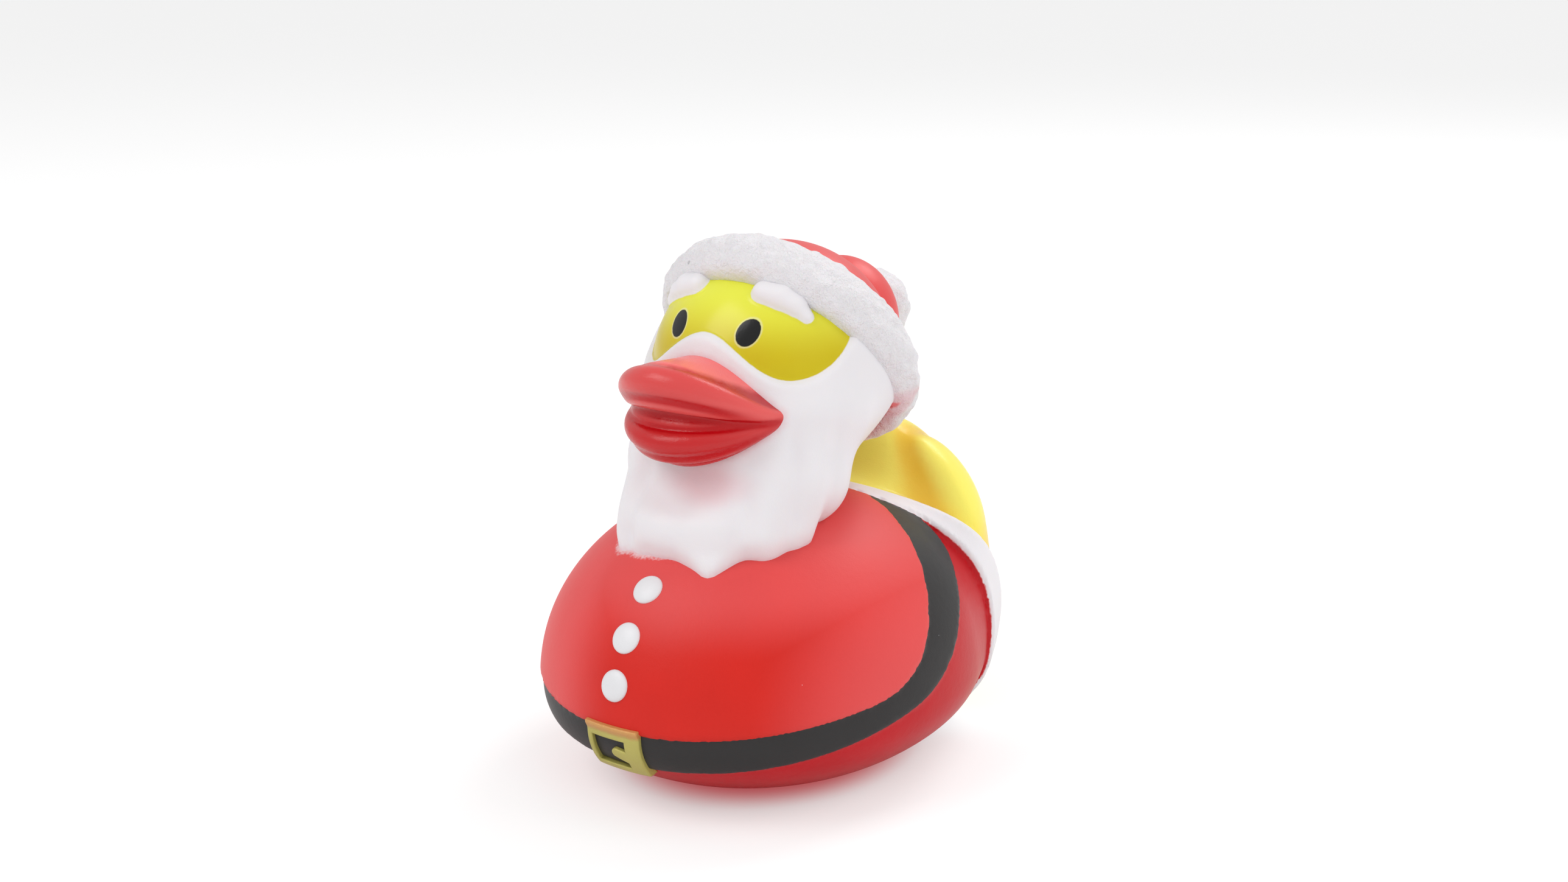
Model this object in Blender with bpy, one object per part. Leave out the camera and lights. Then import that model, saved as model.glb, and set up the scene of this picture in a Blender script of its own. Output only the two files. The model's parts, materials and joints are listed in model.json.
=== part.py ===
"""Moulded vinyl bath duck dressed in a winter costume.

One hollow-moulded toy, modelled as the solid of its outer skin. The duck stands on z = 0 at the
centre of its flat base, faces -Y, and its left side is +X. Its form is a set of eggs, rolls and
reliefs that run into each other, as on the modelled master of such a toy.
"""
import bmesh
import bpy
import numpy as np

MM = 0.001

# Torso: an egg, widest at its middle height, with the base cut flat
BODY_WIDTH = 67.0 * MM
BODY_FRONT = 38.9 * MM
BODY_BACK = 39.5 * MM
BODY_RISE = 29.5 * MM
BODY_DROP = 16.0 * MM
BODY_MIDDLE = 15.0 * MM
BODY_FULLNESS = 2.1

# Reliefs of the painted coat: coat over belt, belt and hem over the skirt
COAT_OVERHANG = 1.2 * MM
BELT_THICKNESS = 0.7 * MM
HEM_THICKNESS = 0.9 * MM
EDGE_ROUNDING = 0.5 * MM

# The belt's two edges seen from the side: each runs back along the flank and turns up over the
# rear shoulder. A run is a point on it (y, z) and its slope in degrees.
BELT_TOP_FLANK = (-39.7 * MM, 15.3 * MM, 8.5)
BELT_TOP_REAR = (3.2 * MM, 32.4 * MM, 51.0)
BELT_TOP_BEND = 6.0 * MM
BELT_LOW_FLANK = (-27.0 * MM, 11.5 * MM, 13.0)
BELT_LOW_REAR = (8.0 * MM, 24.5 * MM, 41.0)
BELT_LOW_NAPE = (18.5 * MM, 35.5 * MM, 108.0)
BELT_LOW_BEND = 4.0 * MM

# The hem's two edges, each an arc seen from the side: its centre (y, z) and radius
HEM_INNER_ARC = (-2.0 * MM, 19.0 * MM, 27.6 * MM)
HEM_OUTER_ARC = (1.5 * MM, 14.0 * MM, 32.4 * MM)

# Tail: a broad upturned egg with two flutes on each side that fan out from a point above it
TAIL_CENTRE = (0.0, 28.5 * MM, 26.0 * MM)
TAIL_WIDTH = 49.0 * MM
TAIL_FRONT = 8.0 * MM
TAIL_BACK = 15.0 * MM
TAIL_RISE = 25.8 * MM
TAIL_DROP = 26.0 * MM
TAIL_FULLNESS = 2.2
TAIL_BLEND = 9.0 * MM
FLUTE_FAN_Z = 63.0 * MM
FLUTES = ((34.0, 0.8 * MM, 6.0), (50.0, 0.45 * MM, 6.0))

# Head
HEAD_CENTRE = (0.0, 2.5 * MM, 65.0 * MM)
HEAD_WIDTH = 40.0 * MM
HEAD_FRONT = 20.2 * MM
HEAD_BACK = 20.0 * MM
HEAD_RISE = 18.5 * MM
HEAD_DROP = 15.5 * MM
NECK_RADIUS = 12.5 * MM
NECK_Y = 1.0 * MM

# Hat: a rolled trim round the head, tipped back, and a crown that droops behind to a bobble
HAT_LEAN = 50.0
TRIM_WIDTH = 10.0 * MM
TRIM_THICKNESS = 3.5 * MM
TRIM_RADIUS = (19.8 * MM, 19.8 * MM, 18.5 * MM)
TRIM_LIFT = 5.6 * MM
TRIM_FULLNESS = 2.2
CROWN_CENTRE = (0.0, 3.7 * MM, 66.6 * MM)
CROWN_WIDTH = 37.8 * MM
CROWN_DEPTH = 35.4 * MM
CROWN_HEIGHT = 36.6 * MM
DROOP_CENTRE = (0.0, 20.7 * MM, 69.0 * MM)
DROOP_WIDTH = 20.2 * MM
DROOP_DEPTH = 18.6 * MM
DROOP_HEIGHT = 22.6 * MM
DROOP_BLEND = 1.0 * MM
BOBBLE_CENTRE = (0.0, 30.0 * MM, 70.5 * MM)
BOBBLE_DIAMETER = 13.0 * MM

# Beard: three masses, each (y, z, half width, front, back, up, down), and its cover on the chest
BEARD_MASSES = (
    (-3.0 * MM, 60.5 * MM, 20.3 * MM, 16.3 * MM, 10.5 * MM, 8.0 * MM, 13.0 * MM),
    (-7.0 * MM, 50.5 * MM, 19.6 * MM, 16.0 * MM, 9.5 * MM, 12.0 * MM, 12.0 * MM),
    (-12.5 * MM, 43.5 * MM, 16.9 * MM, 15.0 * MM, 4.0 * MM, 10.0 * MM, 8.0 * MM),
)
BEARD_BLEND = 4.0 * MM
BEARD_THICKNESS = 1.3 * MM
BEARD_BACK_Y = -10.5 * MM
BEARD_AXIS_Y = -2.0 * MM
# Its wavy edge on the chest: direction round the beard's axis in degrees, and reach from it
BEARD_EDGE = (
    (-80.0, 12.5 * MM),
    (-60.0, 18.5 * MM),
    (-38.0, 22.0 * MM),
    (-23.0, 25.3 * MM),
    (-15.0, 24.6 * MM),
    (-9.0, 23.3 * MM),
    (3.0, 23.3 * MM),
    (11.0, 24.3 * MM),
    (18.5, 26.5 * MM),
    (25.0, 24.0 * MM),
    (33.0, 21.1 * MM),
    (45.0, 20.5 * MM),
    (51.0, 20.0 * MM),
    (57.0, 17.6 * MM),
    (66.0, 14.8 * MM),
    (80.0, 12.5 * MM),
)
BEARD_EDGE_EASE = 2.0
# The line behind which the nape shows, as a run seen from the side
NAPE_LINE = (6.0 * MM, 57.0 * MM, 56.0)
NAPE_ROUNDING = 1.2 * MM
CHIN_CENTRE = (0.0, -26.5 * MM, 53.5 * MM)
CHIN_HALF_WIDTH = 8.5 * MM
CHIN_DEPTH = 4.5 * MM
CHIN_HEIGHT = 6.0 * MM

# The moustache's upper edge on the face: low over the cheeks, a peak above the bill, rising at the temples
MOUSTACHE_LOW = 66.2 * MM
MOUSTACHE_PEAK = 6.6 * MM
MOUSTACHE_RISE = 5.3 * MM
MOUSTACHE_RELIEF = 0.9 * MM
PEAK_ANGLE = 42.0
TEMPLE_ANGLE = 30.0
TEMPLE_LIMIT = 1.6

# Bill: rolls that all end at its two corners, each (reach, height at the front, height at the
# root, roll radius, how fast it closes towards the corner)
BILL_AXIS_Y = -10.0 * MM
BILL_HALF_WIDTH = 13.6 * MM
BILL_ROOT = 5.0 * MM
BILL_CORNER_Z = 61.0 * MM
BILL_ROLLS = (
    (15.6 * MM, 68.4 * MM, 68.0 * MM, 1.4 * MM, 2.2),
    (17.8 * MM, 67.1 * MM, 66.6 * MM, 2.5 * MM, 2.0),
    (17.3 * MM, 64.6 * MM, 64.4 * MM, 1.9 * MM, 1.8),
    (14.8 * MM, 62.0 * MM, 62.2 * MM, 1.5 * MM, 1.5),
    (15.4 * MM, 60.1 * MM, 60.6 * MM, 1.6 * MM, 1.3),
    (17.2 * MM, 57.7 * MM, 59.0 * MM, 1.9 * MM, 1.2),
    (16.0 * MM, 55.9 * MM, 58.0 * MM, 1.6 * MM, 1.1),
    (13.0 * MM, 54.4 * MM, 57.2 * MM, 1.2 * MM, 1.1),
)
ROLL_BLEND = 0.8 * MM
BILL_OPENING = 9 / 8
ROLL_SHARE_AT_CORNER = 0.25

# Brows: points of the near brow's centre line on the face (x, z) with its radius there
BROW_POINTS = (
    (6.4 * MM, 78.7 * MM, 2.0 * MM),
    (9.0 * MM, 78.1 * MM, 2.3 * MM),
    (11.2 * MM, 77.0 * MM, 1.9 * MM),
    (13.0 * MM, 75.5 * MM, 1.1 * MM),
)
BROW_BLEND = 0.2 * MM

# Painted eyes
EYE_X = 6.7 * MM
EYE_Z = 73.3 * MM
EYE_WIDTH = 3.5 * MM
EYE_HEIGHT = 4.0 * MM

# Buttons down the front, and the buckle's frame on the belt
BUTTON_Z = (34.4 * MM, 28.35 * MM, 21.9 * MM)
BUTTON_DIAMETER = 4.9 * MM
BUTTON_RISE = 0.8 * MM
BUCKLE_WIDTH = 10.2 * MM
BUCKLE_BAR = 1.8 * MM
BUCKLE_THICKNESS = 0.7 * MM
BUCKLE_OVER_TOP = 0.9 * MM
BUCKLE_FOOT = 1.3 * MM

# Where pieces of the form meet they run into each other over this length
SEAM_BLEND = 0.6 * MM

# Mesh: cell of the fine net, the share of its faces that is kept, the step for slopes, how far a
# vertex moves in one turn and how much it eases sideways, and the grid's room round the form
FINE_CELL = 0.9 * MM
FACE_SHARE = 0.13
PROBE = 0.05 * MM
FARTHEST_MOVE = 0.4 * MM
EASING = 0.3
LEAST_SLOPE = 0.5
GRID_MARGIN = 3.0 * MM


def egg(p, centre, half_width, front, back, up, down, power=2.0):
    """Distance to an egg whose reach differs to each side of its centre."""
    q = p - np.asarray(centre)
    ry = np.where(q[:, 1] < 0, front, back)
    rz = np.where(q[:, 2] > 0, up, down)
    radii = np.stack([np.full(len(q), half_width), ry, rz], -1)
    s = np.abs(q) / radii + 1e-9
    n = (s ** power).sum(-1) ** (1 / power)
    slope = n[:, None] ** (1 - power) * s ** (power - 1) / radii
    return (n - 1) / np.linalg.norm(slope, axis=-1)


def join(a, b, blend):
    h = np.clip(0.5 + 0.5 * (b - a) / blend, 0, 1)
    return b * (1 - h) + a * h - blend * h * (1 - h)


def keep(a, b, blend):
    return -join(-a, -b, blend)


def step(x, width):
    t = np.clip(0.5 + x / (2 * width), 0, 1)
    return t * t * (3 - 2 * t)


def bell(x, width):
    return np.exp(-(x / width) ** 2)


def run_side(p, run):
    """Height of the points above a sloping run, seen from the side."""
    y, z, slope = run
    a = np.radians(slope)
    return np.cos(a) * (p[:, 2] - z) - np.sin(a) * (p[:, 1] - y)


def arc_side(p, arc):
    """How far inside an arc that bulges backwards the points lie, seen from the side."""
    return arc[2] - np.hypot(np.maximum(p[:, 1] - arc[0], 0), p[:, 2] - arc[1])


def coat_lines(p):
    """How far above the belt's edges and inside the hem's edges the points lie."""
    top = join(run_side(p, BELT_TOP_FLANK), run_side(p, BELT_TOP_REAR), BELT_TOP_BEND)
    low = join(run_side(p, BELT_LOW_FLANK), run_side(p, BELT_LOW_REAR), BELT_LOW_BEND)
    low = join(low, run_side(p, BELT_LOW_NAPE), BELT_LOW_BEND)
    return top, low, arc_side(p, HEM_INNER_ARC), arc_side(p, HEM_OUTER_ARC)


def buckle_frame(p, top, low):
    """How far inside the buckle's bars the points lie: a square ring with the belt in its window."""
    inside = np.minimum(np.minimum(BUCKLE_OVER_TOP - top, low + BUCKLE_FOOT), BUCKLE_WIDTH / 2 - np.abs(p[:, 0]))
    ring = np.minimum(inside, BUCKLE_BAR - inside)
    return np.where(p[:, 1] < 0, ring, -BUCKLE_BAR)


def flute_relief(p):
    fan = np.degrees(np.arctan2(np.abs(p[:, 0]), np.maximum(FLUTE_FAN_Z - p[:, 2], MM)))
    return sum(-depth * bell(fan - angle, spread) for angle, depth, spread in FLUTES)


def body(p):
    centre = (0.0, 0.0, BODY_MIDDLE)
    torso = egg(p, centre, BODY_WIDTH / 2, BODY_FRONT, BODY_BACK, BODY_RISE, BODY_DROP, BODY_FULLNESS)
    tail = egg(p, TAIL_CENTRE, TAIL_WIDTH / 2, TAIL_FRONT, TAIL_BACK, TAIL_RISE, TAIL_DROP, TAIL_FULLNESS)
    base = join(torso, tail, TAIL_BLEND)
    top, low, hem, outer = coat_lines(p)
    coat = step(outer, EDGE_ROUNDING)
    skirt = step(hem, EDGE_ROUNDING)
    over_belt = COAT_OVERHANG * step(top, EDGE_ROUNDING)
    belt = BELT_THICKNESS * step(low, EDGE_ROUNDING)
    buckle = (BELT_THICKNESS + BUCKLE_THICKNESS) * step(buckle_frame(p, top, low), EDGE_ROUNDING)
    relief = skirt * np.maximum(np.maximum(over_belt, belt), buckle)
    relief = np.maximum(relief, HEM_THICKNESS * (coat - skirt))
    return base - relief - flute_relief(p) * (1 - coat)


def neck(p):
    r = np.hypot(p[:, 0], p[:, 1] - NECK_Y) - NECK_RADIUS
    return np.maximum(r, np.maximum(p[:, 2] - HEAD_CENTRE[2], BODY_MIDDLE - p[:, 2]))


def skull(p):
    return egg(p, HEAD_CENTRE, HEAD_WIDTH / 2, HEAD_FRONT, HEAD_BACK, HEAD_RISE, HEAD_DROP)


def moustache_line(p):
    """How far the points lie below the beard's upper edge."""
    angle = np.degrees(np.abs(np.arctan2(p[:, 0], HEAD_CENTRE[1] - p[:, 1])))
    peak = 0.5 + 0.5 * np.cos(np.pi * np.clip(angle / PEAK_ANGLE, 0, 1))
    rise = np.clip((angle - PEAK_ANGLE) / TEMPLE_ANGLE, 0, TEMPLE_LIMIT) ** 2
    return MOUSTACHE_LOW + MOUSTACHE_PEAK * peak + MOUSTACHE_RISE * rise - p[:, 2]


def beard_edge(p):
    angle = np.degrees(np.arctan2(p[:, 0], BEARD_AXIS_Y - p[:, 1]))
    at, length = np.array(BEARD_EDGE).T
    edge = sum(np.interp(angle + ease, at, length) for ease in (-BEARD_EDGE_EASE, 0, BEARD_EDGE_EASE)) / 3
    return edge - np.hypot(p[:, 0], p[:, 1] - BEARD_AXIS_Y)


def beard(p):
    mass = skull(p) - MOUSTACHE_RELIEF
    for y, z, wide, front, back, up, down in BEARD_MASSES:
        mass = join(mass, egg(p, (0.0, y, z), wide, front, back, up, down), BEARD_BLEND)
    hollow = egg(p, CHIN_CENTRE, CHIN_HALF_WIDTH, CHIN_DEPTH, CHIN_DEPTH, CHIN_HEIGHT, CHIN_HEIGHT)
    mass = keep(mass, -hollow, BEARD_BLEND)
    cover = keep(body(p) - BEARD_THICKNESS, -beard_edge(p), MM)
    cover = keep(cover, p[:, 1] - BEARD_BACK_Y, MM)
    cover = keep(cover, BODY_MIDDLE - p[:, 2], MM)
    mass = join(mass, cover, BEARD_BLEND)
    mass = keep(mass, -run_side(p, NAPE_LINE), NAPE_ROUNDING)
    return keep(mass, -moustache_line(p), MM)


def hat_frame(p):
    """The points as the hat sees them: sideways, forwards over the brow, and along its axis."""
    q = p - np.asarray(HEAD_CENTRE)
    lean = np.radians(HAT_LEAN)
    along = q[:, 1] * np.sin(lean) + q[:, 2] * np.cos(lean)
    front = q[:, 2] * np.sin(lean) - q[:, 1] * np.cos(lean)
    return q[:, 0], front, along


def trim(p):
    side, front, along = hat_frame(p)
    radii = np.array(TRIM_RADIUS)
    q = np.stack([side, front, along], -1)
    n = np.linalg.norm(q / radii, axis=-1) + 1e-9
    lift = (n - 1) * n / np.linalg.norm(q / radii ** 2, axis=-1)
    across = np.arctan2(along, np.hypot(side, front)) * TRIM_RADIUS[1] - TRIM_LIFT
    power = TRIM_FULLNESS
    a = np.abs(lift) / TRIM_THICKNESS
    b = np.abs(across) / (TRIM_WIDTH / 2)
    m = (a ** power + b ** power + 1e-12) ** (1 / power)
    slope = np.hypot((a / m) ** (power - 1) / TRIM_THICKNESS, (b / m) ** (power - 1) / (TRIM_WIDTH / 2))
    return (m - 1) / (slope + 1e-9)


def crown(p):
    """The crown's dome, and the part of it that droops behind towards the bobble."""
    deep, high = CROWN_DEPTH / 2, CROWN_HEIGHT / 2
    dome = egg(p, CROWN_CENTRE, CROWN_WIDTH / 2, deep, deep, high, high)
    deep, high = DROOP_DEPTH / 2, DROOP_HEIGHT / 2
    return join(dome, egg(p, DROOP_CENTRE, DROOP_WIDTH / 2, deep, deep, high, high), DROOP_BLEND)


def face(p):
    """The head up to the hat's trim: above that the crown makes the form."""
    return keep(skull(p), hat_frame(p)[2] - TRIM_LIFT, SEAM_BLEND)


def bobble(p):
    return np.linalg.norm(p - np.asarray(BOBBLE_CENTRE), axis=-1) - BOBBLE_DIAMETER / 2


def bill(p):
    x = p[:, 0]
    y = BILL_AXIS_Y - p[:, 1]
    reach = np.hypot(x, y) + 1e-9
    turn = np.clip(np.degrees(np.arctan2(np.abs(x), y)) * BILL_OPENING, 0, 90)
    open_ = np.clip(np.cos(np.radians(turn)), 1e-4, 1)
    result = None
    for tip, tip_z, root_z, roll, fall in BILL_ROLLS:
        plan = 1 / np.hypot(y / reach / tip, x / reach / BILL_HALF_WIDTH)
        end_z = BILL_CORNER_Z + (tip_z - BILL_CORNER_Z) * open_ ** fall
        run = np.maximum(plan - BILL_ROOT, PROBE)
        rise = end_z - root_z
        along = ((reach - BILL_ROOT) * run + (p[:, 2] - root_z) * rise) / (run ** 2 + rise ** 2)
        t = np.clip(along, 0, 1)
        radius = roll * (ROLL_SHARE_AT_CORNER + (1 - ROLL_SHARE_AT_CORNER) * open_)
        d = np.hypot(reach - BILL_ROOT - t * run, p[:, 2] - root_z - t * rise) - radius
        result = d if result is None else join(result, d, ROLL_BLEND)
    return result


def chest_y(z):
    """Front of the torso's egg at a height, before the reliefs."""
    reach = BODY_RISE if z > BODY_MIDDLE else BODY_DROP
    inside = 1 - (min(abs(z - BODY_MIDDLE) / reach, 1)) ** BODY_FULLNESS
    return -BODY_FRONT * inside ** (1 / BODY_FULLNESS)


def button(p, z):
    gap = 0.2 * MM
    tangent = np.array((0.0, chest_y(z + gap) - chest_y(z - gap), 2 * gap))
    tangent /= np.linalg.norm(tangent)
    out = np.array((0.0, -tangent[2], tangent[1]))
    q = p - np.array((0.0, chest_y(z), z)) - out * COAT_OVERHANG
    along = q @ out
    off_axis = np.sqrt(np.maximum((q ** 2).sum(-1) - along ** 2, 0))
    radius = BUTTON_DIAMETER / 2
    a = off_axis / radius
    b = along / BUTTON_RISE
    n = np.hypot(a, b) + 1e-9
    return (n - 1) / (np.hypot(a / radius, b / BUTTON_RISE) / n + 1e-9)


def face_y(x, z):
    reach = HEAD_RISE if z > HEAD_CENTRE[2] else HEAD_DROP
    inside = 1 - (x / (HEAD_WIDTH / 2)) ** 2 - ((z - HEAD_CENTRE[2]) / reach) ** 2
    return HEAD_CENTRE[1] - HEAD_FRONT * np.sqrt(max(inside, 0))


def brow(p):
    near = np.stack([np.abs(p[:, 0]), p[:, 1], p[:, 2]], -1)
    result = None
    for (xa, za, ra), (xb, zb, rb) in zip(BROW_POINTS[:-1], BROW_POINTS[1:]):
        a = np.array((xa, face_y(xa, za), za))
        b = np.array((xb, face_y(xb, zb), zb))
        run = b - a
        t = np.clip((near - a) @ run / (run @ run), 0, 1)
        d = np.linalg.norm(near - a - t[:, None] * run, axis=-1) - (ra + (rb - ra) * t)
        result = d if result is None else join(result, d, BROW_BLEND)
    return result


def pieces(p):
    """Distance of the points to each piece of the form."""
    return {
        "coat": body(p),
        "neck": neck(p),
        "face": face(p),
        "beard": beard(p),
        "trim": trim(p),
        "crown": crown(p),
        "bobble": bobble(p),
        "bill": bill(p),
        "brows": brow(p),
        "buttons": np.minimum.reduce([button(p, z) for z in BUTTON_Z]),
    }


def skin(p):
    """Distance to the whole form, whose pieces run into each other."""
    result = None
    for value in pieces(p).values():
        result = value if result is None else join(result, value, SEAM_BLEND)
    return result


# Colour, roughness and metallic value of each paint, and the pieces it covers
PAINTS = {
    "red_coat": ((0.74, 0.05, 0.04), 0.42, 0.0),
    "yellow_skin": ((0.78, 0.62, 0.02), 0.25, 0.0),
    "white_fleece": ((0.86, 0.86, 0.88), 0.6, 0.0),
    "red_bill": ((0.50, 0.01, 0.02), 0.3, 0.0),
    "black_belt": ((0.04, 0.04, 0.045), 0.35, 0.0),
    "gold_buckle": ((0.60, 0.50, 0.15), 0.4, 0.6),
    "black_eyes": ((0.01, 0.01, 0.01), 0.2, 0.0),
}
PAINT_OF_PIECE = {
    "coat": "red_coat", "neck": "red_coat", "crown": "red_coat", "face": "yellow_skin", "bill": "red_bill",
    "beard": "white_fleece", "trim": "white_fleece", "bobble": "white_fleece", "brows": "white_fleece",
    "buttons": "white_fleece",
}


def paint(p):
    """Number of the paint at each point."""
    names = list(PAINTS)
    distance = pieces(p)
    nearest = np.stack(list(distance.values()), -1).argmin(-1)
    number = np.array([names.index(PAINT_OF_PIECE[piece]) for piece in distance])[nearest]
    on_coat = nearest == list(distance).index("coat")
    on_face = nearest == list(distance).index("face")
    top, low, hem, outer = coat_lines(p)
    number[on_coat & (top < 0) & (low > 0)] = names.index("black_belt")
    number[on_coat & (buckle_frame(p, top, low) > 0)] = names.index("gold_buckle")
    number[on_coat & (hem < 0)] = names.index("white_fleece")
    number[on_coat & (outer < 0)] = names.index("yellow_skin")
    across = (np.abs(p[:, 0]) - EYE_X) / (EYE_WIDTH / 2)
    up = (p[:, 2] - EYE_Z) / (EYE_HEIGHT / 2)
    eye = (np.hypot(across, up) < 1) & (p[:, 1] < HEAD_CENTRE[1])
    number[on_face & eye] = names.index("black_eyes")
    number[on_face & (run_side(p, NAPE_LINE) < 0)] = names.index("red_coat")
    return number


def sampled_grid():
    """Lines of an even grid round the form, along each axis."""
    wide = BODY_WIDTH / 2 + GRID_MARGIN
    front = max(BODY_FRONT, max(roll[0] for roll in BILL_ROLLS) - BILL_AXIS_Y) + GRID_MARGIN
    rear = max(BODY_BACK, TAIL_CENTRE[1] + TAIL_BACK, BOBBLE_CENTRE[1] + BOBBLE_DIAMETER,
               DROOP_CENTRE[1] + DROOP_DEPTH / 2) + GRID_MARGIN
    high = max(HEAD_CENTRE[2] + HEAD_RISE, CROWN_CENTRE[2] + CROWN_HEIGHT / 2,
               DROOP_CENTRE[2] + DROOP_HEIGHT / 2) + TRIM_THICKNESS + GRID_MARGIN
    low = min(0.0, BODY_MIDDLE - BODY_DROP, TAIL_CENTRE[2] - TAIL_DROP) - GRID_MARGIN
    half = np.arange(FINE_CELL / 2, wide, FINE_CELL)
    across = np.concatenate([-half[::-1], half])
    return across, np.arange(-front, rear, FINE_CELL), np.arange(low, high, FINE_CELL)


def netted_form():
    """A closed net of four-sided faces on the form: one vertex in each grid cell that it crosses."""
    lines = sampled_grid()
    shape = tuple(len(line) for line in lines)
    value = np.empty(shape)
    for i, x in enumerate(lines[0]):
        y, z = np.meshgrid(lines[1], lines[2], indexing="ij")
        sheet = np.stack([np.full(y.size, x), y.ravel(), z.ravel()], -1)
        value[i] = skin(sheet).reshape(shape[1:])
    inside = value < 0
    cells = tuple(n - 1 for n in shape)
    total = np.zeros(cells + (3,))
    crossings = np.zeros(cells, dtype=np.int64)
    quads = []
    for axis in range(3):
        near = tuple(slice(0, -1) if k == axis else slice(None) for k in range(3))
        far = tuple(slice(1, None) if k == axis else slice(None) for k in range(3))
        at = np.argwhere(inside[near] != inside[far])
        ahead = at + np.eye(3, dtype=np.int64)[axis]
        v0, v1 = value[tuple(at.T)], value[tuple(ahead.T)]
        point = np.stack([lines[k][at[:, k]] for k in range(3)], -1)
        point[:, axis] += FINE_CELL * v0 / (v0 - v1)
        second, third = (axis + 1) % 3, (axis + 2) % 3
        ring = []
        for back_2, back_3 in ((0, 0), (1, 0), (1, 1), (0, 1)):
            cell = at.copy()
            cell[:, second] -= back_2
            cell[:, third] -= back_3
            index = np.ravel_multi_index(tuple(cell.T), cells)
            for k in range(3):
                total[..., k] += np.bincount(index, point[:, k], crossings.size).reshape(cells)
            crossings += np.bincount(index, minlength=crossings.size).reshape(cells)
            ring.append(index)
        quad = np.stack(ring, -1)
        quads.append(np.where((v0 < v1)[:, None], quad, quad[:, ::-1]))
    used = crossings.ravel() > 0
    number = np.cumsum(used) - 1
    vertices = total.reshape(-1, 3)[used] / crossings.ravel()[used][:, None]
    mesh = bpy.data.meshes.new("net")
    mesh.from_pydata(vertices.tolist(), [], number[np.concatenate(quads)].tolist())
    return mesh


def with_modifier(mesh, kind, **settings):
    """The mesh after one modifier."""
    holder = bpy.data.objects.new("duck_holder", mesh)
    bpy.context.scene.collection.objects.link(holder)
    modifier = holder.modifiers.new(kind.lower(), kind)
    for key, value in settings.items():
        setattr(modifier, key, value)
    graph = bpy.context.evaluated_depsgraph_get()
    result = bpy.data.meshes.new_from_object(holder.evaluated_get(graph))
    bpy.data.objects.remove(holder)
    return result


def renetted(mesh):
    return with_modifier(mesh, "REMESH", mode="VOXEL", voxel_size=FINE_CELL)


def slope_and_distance(p):
    distance = skin(p)
    slope = np.stack([(skin(p + offset) - distance) / PROBE for offset in np.eye(3) * PROBE], -1)
    length = np.linalg.norm(slope, axis=-1) + 1e-9
    return slope / length[:, None], distance / np.maximum(length, LEAST_SLOPE)


def drawn_onto_form(mesh, rounds, easing):
    """Moves the vertices onto the form's surface, easing them apart along it on the way."""
    count = len(mesh.vertices)
    flat = np.empty(count * 3)
    mesh.vertices.foreach_get("co", flat)
    p = flat.reshape(-1, 3)
    edges = np.empty(len(mesh.edges) * 2, dtype=np.int64)
    mesh.edges.foreach_get("vertices", edges)
    a, b = edges.reshape(-1, 2).T
    valence = np.bincount(a, minlength=count) + np.bincount(b, minlength=count)
    for turn in range(rounds):
        normal, distance = slope_and_distance(p)
        p = p - normal * np.clip(distance, -FARTHEST_MOVE, FARTHEST_MOVE)[:, None]
        if turn < rounds - 2 and easing:
            total = np.zeros_like(p)
            for axis in range(3):
                total[:, axis] = np.bincount(a, p[b, axis], count) + np.bincount(b, p[a, axis], count)
            pull = total / valence[:, None] - p
            pull -= normal * (pull * normal).sum(-1)[:, None]
            p = p + pull * easing
    mesh.vertices.foreach_set("co", p.astype(np.float32).ravel())
    mesh.update()
    return mesh


def stood_on_base(mesh):
    """Cuts the mesh flat at z = 0, closes the base and turns every face into triangles."""
    bm = bmesh.new()
    bm.from_mesh(mesh)
    every = bm.verts[:] + bm.edges[:] + bm.faces[:]
    bmesh.ops.bisect_plane(bm, geom=every, plane_co=(0, 0, 0), plane_no=(0, 0, 1), clear_inner=True, dist=PROBE)
    rim = [edge for edge in bm.edges if edge.is_boundary]
    bmesh.ops.edgeloop_fill(bm, edges=rim)
    bmesh.ops.triangulate(bm, faces=bm.faces[:])
    bmesh.ops.recalc_face_normals(bm, faces=bm.faces[:])
    bm.to_mesh(mesh)
    bm.free()
    return mesh


def painted(mesh):
    """Gives the mesh its paints, one material for each, and smooth shading."""
    for name, (colour, roughness, metallic) in PAINTS.items():
        material = bpy.data.materials.new(name)
        material.use_nodes = True
        shader = material.node_tree.nodes["Principled BSDF"]
        shader.inputs["Base Color"].default_value = (*colour, 1.0)
        shader.inputs["Roughness"].default_value = roughness
        shader.inputs["Metallic"].default_value = metallic
        mesh.materials.append(material)
    centres = np.empty(len(mesh.polygons) * 3)
    mesh.polygons.foreach_get("center", centres)
    mesh.polygons.foreach_set("material_index", paint(centres.reshape(-1, 3)).astype(np.int32))
    mesh.shade_smooth()
    return mesh


def main():
    for obj in list(bpy.data.objects):
        bpy.data.objects.remove(obj)
    mesh = drawn_onto_form(renetted(netted_form()), 5, EASING)
    mesh = with_modifier(mesh, "DECIMATE", ratio=FACE_SHARE)
    mesh = drawn_onto_form(mesh, 3, 0.0)
    mesh = painted(stood_on_base(mesh))
    mesh.name = "duck"
    duck = bpy.data.objects.new("duck", mesh)
    bpy.context.scene.collection.objects.link(duck)


main()
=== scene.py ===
"""Looks of a moulded vinyl bath duck in a winter costume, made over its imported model."""
import json
import math

import bpy
import numpy as np
from bpy.props import FloatProperty, FloatVectorProperty, PointerProperty
from bpy.types import Operator, Panel, PropertyGroup
from mathutils import Matrix, Vector, noise

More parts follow.
